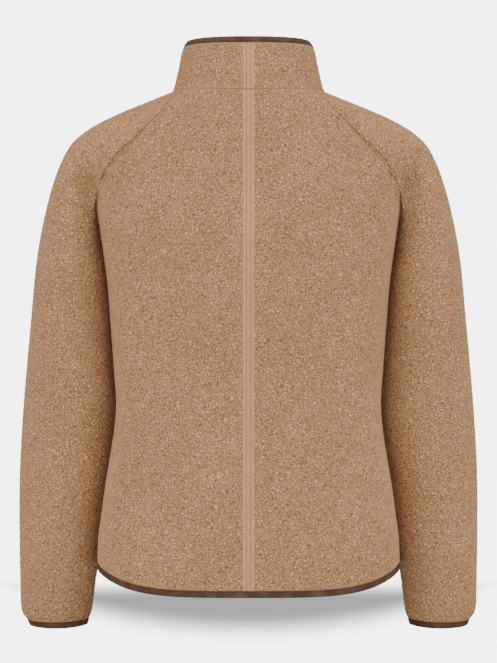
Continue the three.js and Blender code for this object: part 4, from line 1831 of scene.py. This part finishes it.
    def over_body(self, points: np.ndarray, drawn: float) -> np.ndarray:
        """The sleeve's cloth past its seam goes on over the body's own form until it meets the arm's.

        Args:
            points: The sleeve's points, as rings that run down from the seam.
            drawn: How much of the arm's inner side is rounded off.

        Returns:
            The points, those near the armpit out on the body's form.
        """
        x, y, z = np.moveaxis(points, -1, 0)
        run = row_lengths(points, 0)
        side, square = np.sign(y), BODY.square(z)
        depth = np.where(y > 0, BODY.back(z), BODY.front(z))
        pressed = BODY.hollow(z) * bell(y - BODY_FORM.hollow.centre, BODY_FORM.hollow.spread)
        share = np.clip((x + pressed) / BODY.half_width(z), 0, 1)
        body = depth * (1 - share**square) ** (1 / square) * smoothstep(*self.meeting.body_ends, z)
        rounded = smoothstep(0, self.meeting.rounding, x - SOCKET.inner(z))
        arm = side * y * (1 - drawn * SOCKET.drawn(z) * (1 - rounded))
        soft = self.meeting.soft * smoothstep(0, self.meeting.soft_from, run)
        soft = np.maximum(soft * smoothstep(0, self.meeting.soft_arm, arm), 1e-6)
        met = np.maximum(body, arm) + np.maximum(0, 1 - np.abs(body - arm) / soft) ** 2 * soft / 4
        starts = self.meeting.starts + self.meeting.starts_more * smoothstep(*self.meeting.more_from, -z)
        weight = smoothstep(0, starts, run) * smoothstep(*self.meeting.depth_from, -z)
        return np.stack([x, y + (side * met - y) * weight, z], -1)

    def left(self) -> Cloth:
        """The left sleeve.

        Returns:
            Its cloth, as rings from the cuff up to the raglan seam.
        """
        loop = self.loop()
        start, leaving, start_normal, start_thickness = self.start(loop)
        shares = np.linspace(0, 1, self.cap_rows)[1:]
        bound = CUFF + bound_rows()
        heights = np.concatenate([np.linspace(UPPER_ARM, bound[-1], self.arm_rows)[1:-1], bound[::-1]])
        cap = self.cap(start, leaving, loop.around, shares)
        arm = ARM_FORM.point(heights[:, None], loop.around[None, :])
        grid = np.concatenate([start[None], cap, arm])
        turned = np.degrees(np.minimum(loop.around, 2 * math.pi - loop.around))
        free = smoothstep(*self.evening.angle_from, turned)
        free = free * (1 - smoothstep(*self.evening.angle_to, turned))
        near = 1 - smoothstep(*self.evening.cap_to, np.arange(len(grid)) / len(cap))
        share = near[:, None] * free * smoothstep(*self.evening.depth_from, -grid[..., 2])
        grid = relaxed(self.over_body(grid, 1.0), share, self.evening.passes)
        grid = relaxed(self.over_body(grid, 0.0), share, self.evening.last_passes)
        normal = grid_normals(grid)
        normal[0] = start_normal
        run = row_lengths(grid, 0)
        in_fold = free * smoothstep(0, self.fold_from, run) * (1 - smoothstep(*self.fold_to, run))
        thickness = CLOTH - (CLOTH - self.fold_cloth) * in_fold
        thickness[0] = start_thickness
        sunk, pile, seam = dip(run)
        bound_sunk, bound_thickness, bound_pile = bound_shape(heights - CUFF)
        sunk[-len(heights) :] = bound_sunk[:, None]
        thickness[-len(heights) :] = bound_thickness[:, None]
        pile[-len(heights) :] *= bound_pile[:, None]
        # Turned upside down, the rings run clockwise from outside, so each is also turned round.
        rows = [a[::-1, ::-1] for a in (grid, normal, thickness, sunk, pile, seam)]
        return Cloth(*rows, closed=True)

    def cuff(self) -> Edge:
        """The left cuff.

        Returns:
            Its edge.
        """
        around = np.linspace(0, 2 * math.pi, self.cuff_count, endpoint=False)
        point = ARM_FORM.point(CUFF, around)
        past = normalised(point - ARM_FORM.point(CUFF + 1, around))
        along = ARM_FORM.point(CUFF, around + 0.01) - ARM_FORM.point(CUFF, around - 0.01)
        return Edge(point, normalised(np.cross(along, past)), past)


@dataclass(frozen=True)
class Collar:
    """The stand-up collar."""

    columns: int = 387
    rows: int = 36
    edge_count: int = 360
    pressed_rows: tuple[float, ...] = (-0.015, -0.007, 0, 0.009, 0.02)
    # How strongly the painted seam shade darkens the collar.
    seam_share: float = 0.7
    cut: Cut = Cut(0.54, 0.075, 0.0405)

    def make(self, tailor: Tailor) -> None:
        """Makes the collar."""
        tailor.cloth("collar_cloth", "collar", self.band(), self.cut)

    def band(self) -> Cloth:
        """The collar as one band, its ends sewn together at the centre back.

        Returns:
            Its cloth, from the neckline up.
        """
        angle_gap = STRIP_COLUMNS / BODY.back(0.0)
        first = math.pi / 2 - 2 * math.pi + angle_gap
        last = math.pi / 2 - angle_gap[::-1]
        middle = np.linspace(first[-1], last[0], self.columns)[1:-1]
        angles = np.concatenate([first, middle, last])
        edge = (BINDING.height + PRESSED_REACH) / COLLAR_FORM.back
        bound = 1 - edge + np.array([*self.pressed_rows, edge])
        rises = np.concatenate([np.linspace(0, bound[0], self.rows)[:-1], bound])
        point = COLLAR_FORM.point(rises[:, None], angles)
        at = COLLAR_FORM.frames(rises[:, None], angles)
        normal, thickness = at.normal.copy(), np.full(point.shape[:2], CLOTH)
        normal[0], thickness[0] = neck_wall(angles)
        point[0] += at.up[0] * SEAM_GAP / 2
        sunk, bound_thickness, pile = bound_shape((1 - rises) * COLLAR_FORM.back)
        thickness += (bound_thickness - CLOTH)[:, None]
        seam_sunk, seam_pile, seam = dip(row_lengths(point, 0))
        across = np.where(point[..., 1] > 0, np.abs(point[..., 0]), FAR)
        strip_sunk, strip_pile = strip_shape(across)
        sunk = np.maximum(np.maximum(sunk[:, None], seam_sunk), strip_sunk)
        standing = pile[:, None] * seam_pile * strip_pile
        return Cloth(point, normal, thickness, sunk, standing, seam * self.seam_share)

    def edge(self) -> Edge:
        """The collar's top edge."""
        angle = np.linspace(0, 2 * math.pi, self.edge_count, endpoint=False)
        at = COLLAR_FORM.frames(1.0, angle)
        return Edge(COLLAR_FORM.point(1.0, angle), at.normal, at.up)


@dataclass(frozen=True)
class Bindings:
    """The tape round the collar, the hem and the cuffs, and the thread in it."""

    collar: Edge
    hem: Edge
    cuff: Edge
    collar_cut: Cut = Cut(0.02, 0.50)
    hem_cut: Cut = Cut(0.02, 1.16)
    cuff_cut: Cut = Cut(0.02, 0.26)

    def make(self, tailor: Tailor) -> None:
        """Makes the four tapes."""
        tailor.tape("collar_tape", "collar_binding", self.collar, self.collar_cut)
        tailor.tape("hem_tape", "hem_binding", self.hem, self.hem_cut)
        tailor.tape("cuff_tape_left", "cuff_binding_left", self.cuff, self.cuff_cut)
        tailor.tape("cuff_tape_right", "cuff_binding_right", self.cuff.mirrored(), self.cuff_cut)

    def sew(self, tailor: Tailor) -> None:
        """Sews the tapes on."""
        tailor.seam("collar_stitches", TAPE.stitches(self.collar), Slot.BINDING)
        tailor.seam("hem_stitches", TAPE.stitches(self.hem, inner=False), Slot.BINDING)
        cuffs = TAPE.stitches(self.cuff, inner=False) + TAPE.stitches(self.cuff.mirrored(), inner=False)
        tailor.seam("cuff_stitches", cuffs, Slot.BINDING)


@dataclass(frozen=True)
class CentreSeam:
    """The two rows of stitches down the centre back."""

    body_points: int = 340
    collar_points: int = 40
    top: float = -3.0
    collar_foot: float = 0.04
    bedded: float = 0.12

    def sew(self, tailor: Tailor) -> None:
        """Sews both rows."""
        tailor.seam("centre_stitches", self.rows(), Slot.PILE)

    def rows(self) -> list[tuple[np.ndarray, np.ndarray]]:
        """The two rows down the centre back, on the body and on the collar.

        Returns:
            Each row's points, and which way is out of the cloth there.
        """
        rows = []
        for mirror in (1, -1):
            edge = BINDING.height + PRESSED_REACH + 1
            heights = np.linspace(BODY_FORM.hem.height + edge, self.top, self.body_points)
            angles = math.pi / 2 - mirror * np.arcsin(STRIP.stitch / BODY.back(heights))
            normal = BODY_FORM.frames(heights, angles).normal
            depth = STRIP.sunk + STRIP.groove - self.bedded
            rows.append((BODY_FORM.point(heights, angles) - normal * depth, normal))
            rises = np.linspace(self.collar_foot, 1 - edge / COLLAR_FORM.back, self.collar_points)
            angles = math.pi / 2 - mirror * STRIP.stitch / BODY.back(0.0) * np.ones(len(rises))
            normal = COLLAR_FORM.frames(rises, angles).normal
            rows.append((COLLAR_FORM.point(rises, angles) - normal * depth, normal))
        return rows


@dataclass(frozen=True)
class Studio:
    """The camera, the floor and the lights."""

    distance: float = 2.5
    height: float = -0.3293
    lens: float = 96.98
    floor: float = -0.7455
    ground: float = 0.8
    sky: float = 1.1
    backdrop: float = 5.5
    shade: float = 0.5
    key: float = 1.7
    key_spread: float = 70.0
    fill_share: float = 0.4
    key_aim: tuple[float, float, float] = (0.25, -0.85, -1.1)
    fill_aim: tuple[float, float, float] = (-0.5, -1, -0.3)
    size: float = 60.0
    shade_curve: float = 3.2
    shade_front: tuple[float, float] = (-0.14, 0.13)
    shade_behind: tuple[float, float] = (-0.5, -0.27)

    def make(self) -> None:
        """The camera at the photograph's angle, pale ground all round, and soft light from behind it."""
        scene = bpy.context.scene
        camera = bpy.data.objects.new("camera", bpy.data.cameras.new("camera"))
        camera.data.sensor_width = 36
        camera.data.lens = self.lens
        camera.location = (0, self.distance, self.height)
        camera.rotation_euler = (math.pi / 2, 0, math.pi)
        scene.collection.objects.link(camera)
        scene.camera = camera
        size = self.size
        mesh = bpy.data.meshes.new("floor")
        corners = [(-size, -size), (size, -size), (size, size), (-size, size)]
        mesh.from_pydata([(x, y, self.floor) for x, y in corners], [], [(0, 1, 2, 3)])
        mesh.materials.append(self.floor_material())
        floor = bpy.data.objects.new("floor", mesh)
        scene.collection.objects.link(floor)
        scene.world = self.world()
        lights = (("key", self.key_aim, self.key), ("fill", self.fill_aim, self.key * self.fill_share))
        for name, aim, energy in lights:
            light = bpy.data.lights.new(name, "SUN")
            light.energy = energy
            light.angle = math.radians(self.key_spread)
            lamp = bpy.data.objects.new(name, light)
            lamp.rotation_euler = Vector(aim).to_track_quat("-Z", "Y").to_euler()
            scene.collection.objects.link(lamp)

    def floor_material(self) -> bpy.types.Material:
        """Plain pale ground, as bright as the backdrop but where the pullover shades it."""
        made = bpy.data.materials.new("studio_floor")
        made.use_nodes = True
        nodes = NodeTree(made.node_tree)
        made.node_tree.nodes.clear()
        ground = nodes.add("ShaderNodeBsdfDiffuse", {"Color": (*(self.ground,) * 3, 1)})
        position = nodes.add("ShaderNodeNewGeometry").outputs["Position"]
        place = nodes.add("ShaderNodeSeparateXYZ", {0: position}).outputs
        across = nodes.math("MULTIPLY", nodes.math("MULTIPLY", place[0], place[0]), self.shade_curve)
        before = nodes.ranged(nodes.math("ADD", place[1], across), *self.shade_front)
        behind = nodes.ranged(place[1], *self.shade_behind, (1.0, 0.0))
        lit = nodes.math("MAXIMUM", before, behind)
        bright = nodes.math("MULTIPLY", nodes.math("POWER", self.backdrop / self.shade, lit), self.shade)
        seen = nodes.add("ShaderNodeEmission", {"Strength": bright})
        by_camera = nodes.add("ShaderNodeLightPath").outputs["Is Camera Ray"]
        both = nodes.add("ShaderNodeMixShader", {0: by_camera, 1: ground.outputs[0], 2: seen.outputs[0]})
        nodes.add("ShaderNodeOutputMaterial", {0: both.outputs[0]})
        return made

    def world(self) -> bpy.types.World:
        """Even white light, and a brighter white backdrop."""
        made = bpy.data.worlds.new("studio")
        made.use_nodes = True
        nodes = NodeTree(made.node_tree)
        by_camera = nodes.add("ShaderNodeLightPath").outputs["Is Camera Ray"]
        strength = nodes.add("ShaderNodeMapRange", {0: by_camera, 3: self.sky, 4: self.backdrop})
        background = made.node_tree.nodes["Background"]
        nodes.put((1, 1, 1, 1), background.inputs["Color"])
        nodes.put(strength.outputs[0], background.inputs["Strength"])
        return made


def build_pieces() -> None:
    """Makes every piece of the pullover."""
    tailor = Tailor.with_finishes()
    panels, sleeves, collar, seam = BodyPanels(), Sleeves(), Collar(), CentreSeam()
    for part in (panels, sleeves, collar):
        part.make(tailor)
    bindings = Bindings(collar.edge(), panels.hem(), sleeves.cuff())
    bindings.make(tailor)
    seam.sew(tailor)
    bindings.sew(tailor)


def main() -> None:
    """Builds the pullover and the studio."""
    logging.basicConfig(level=logging.INFO, format="%(name)s %(message)s")
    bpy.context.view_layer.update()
    build_pieces()
    Studio().make()


if __name__ == "__main__":
    main()
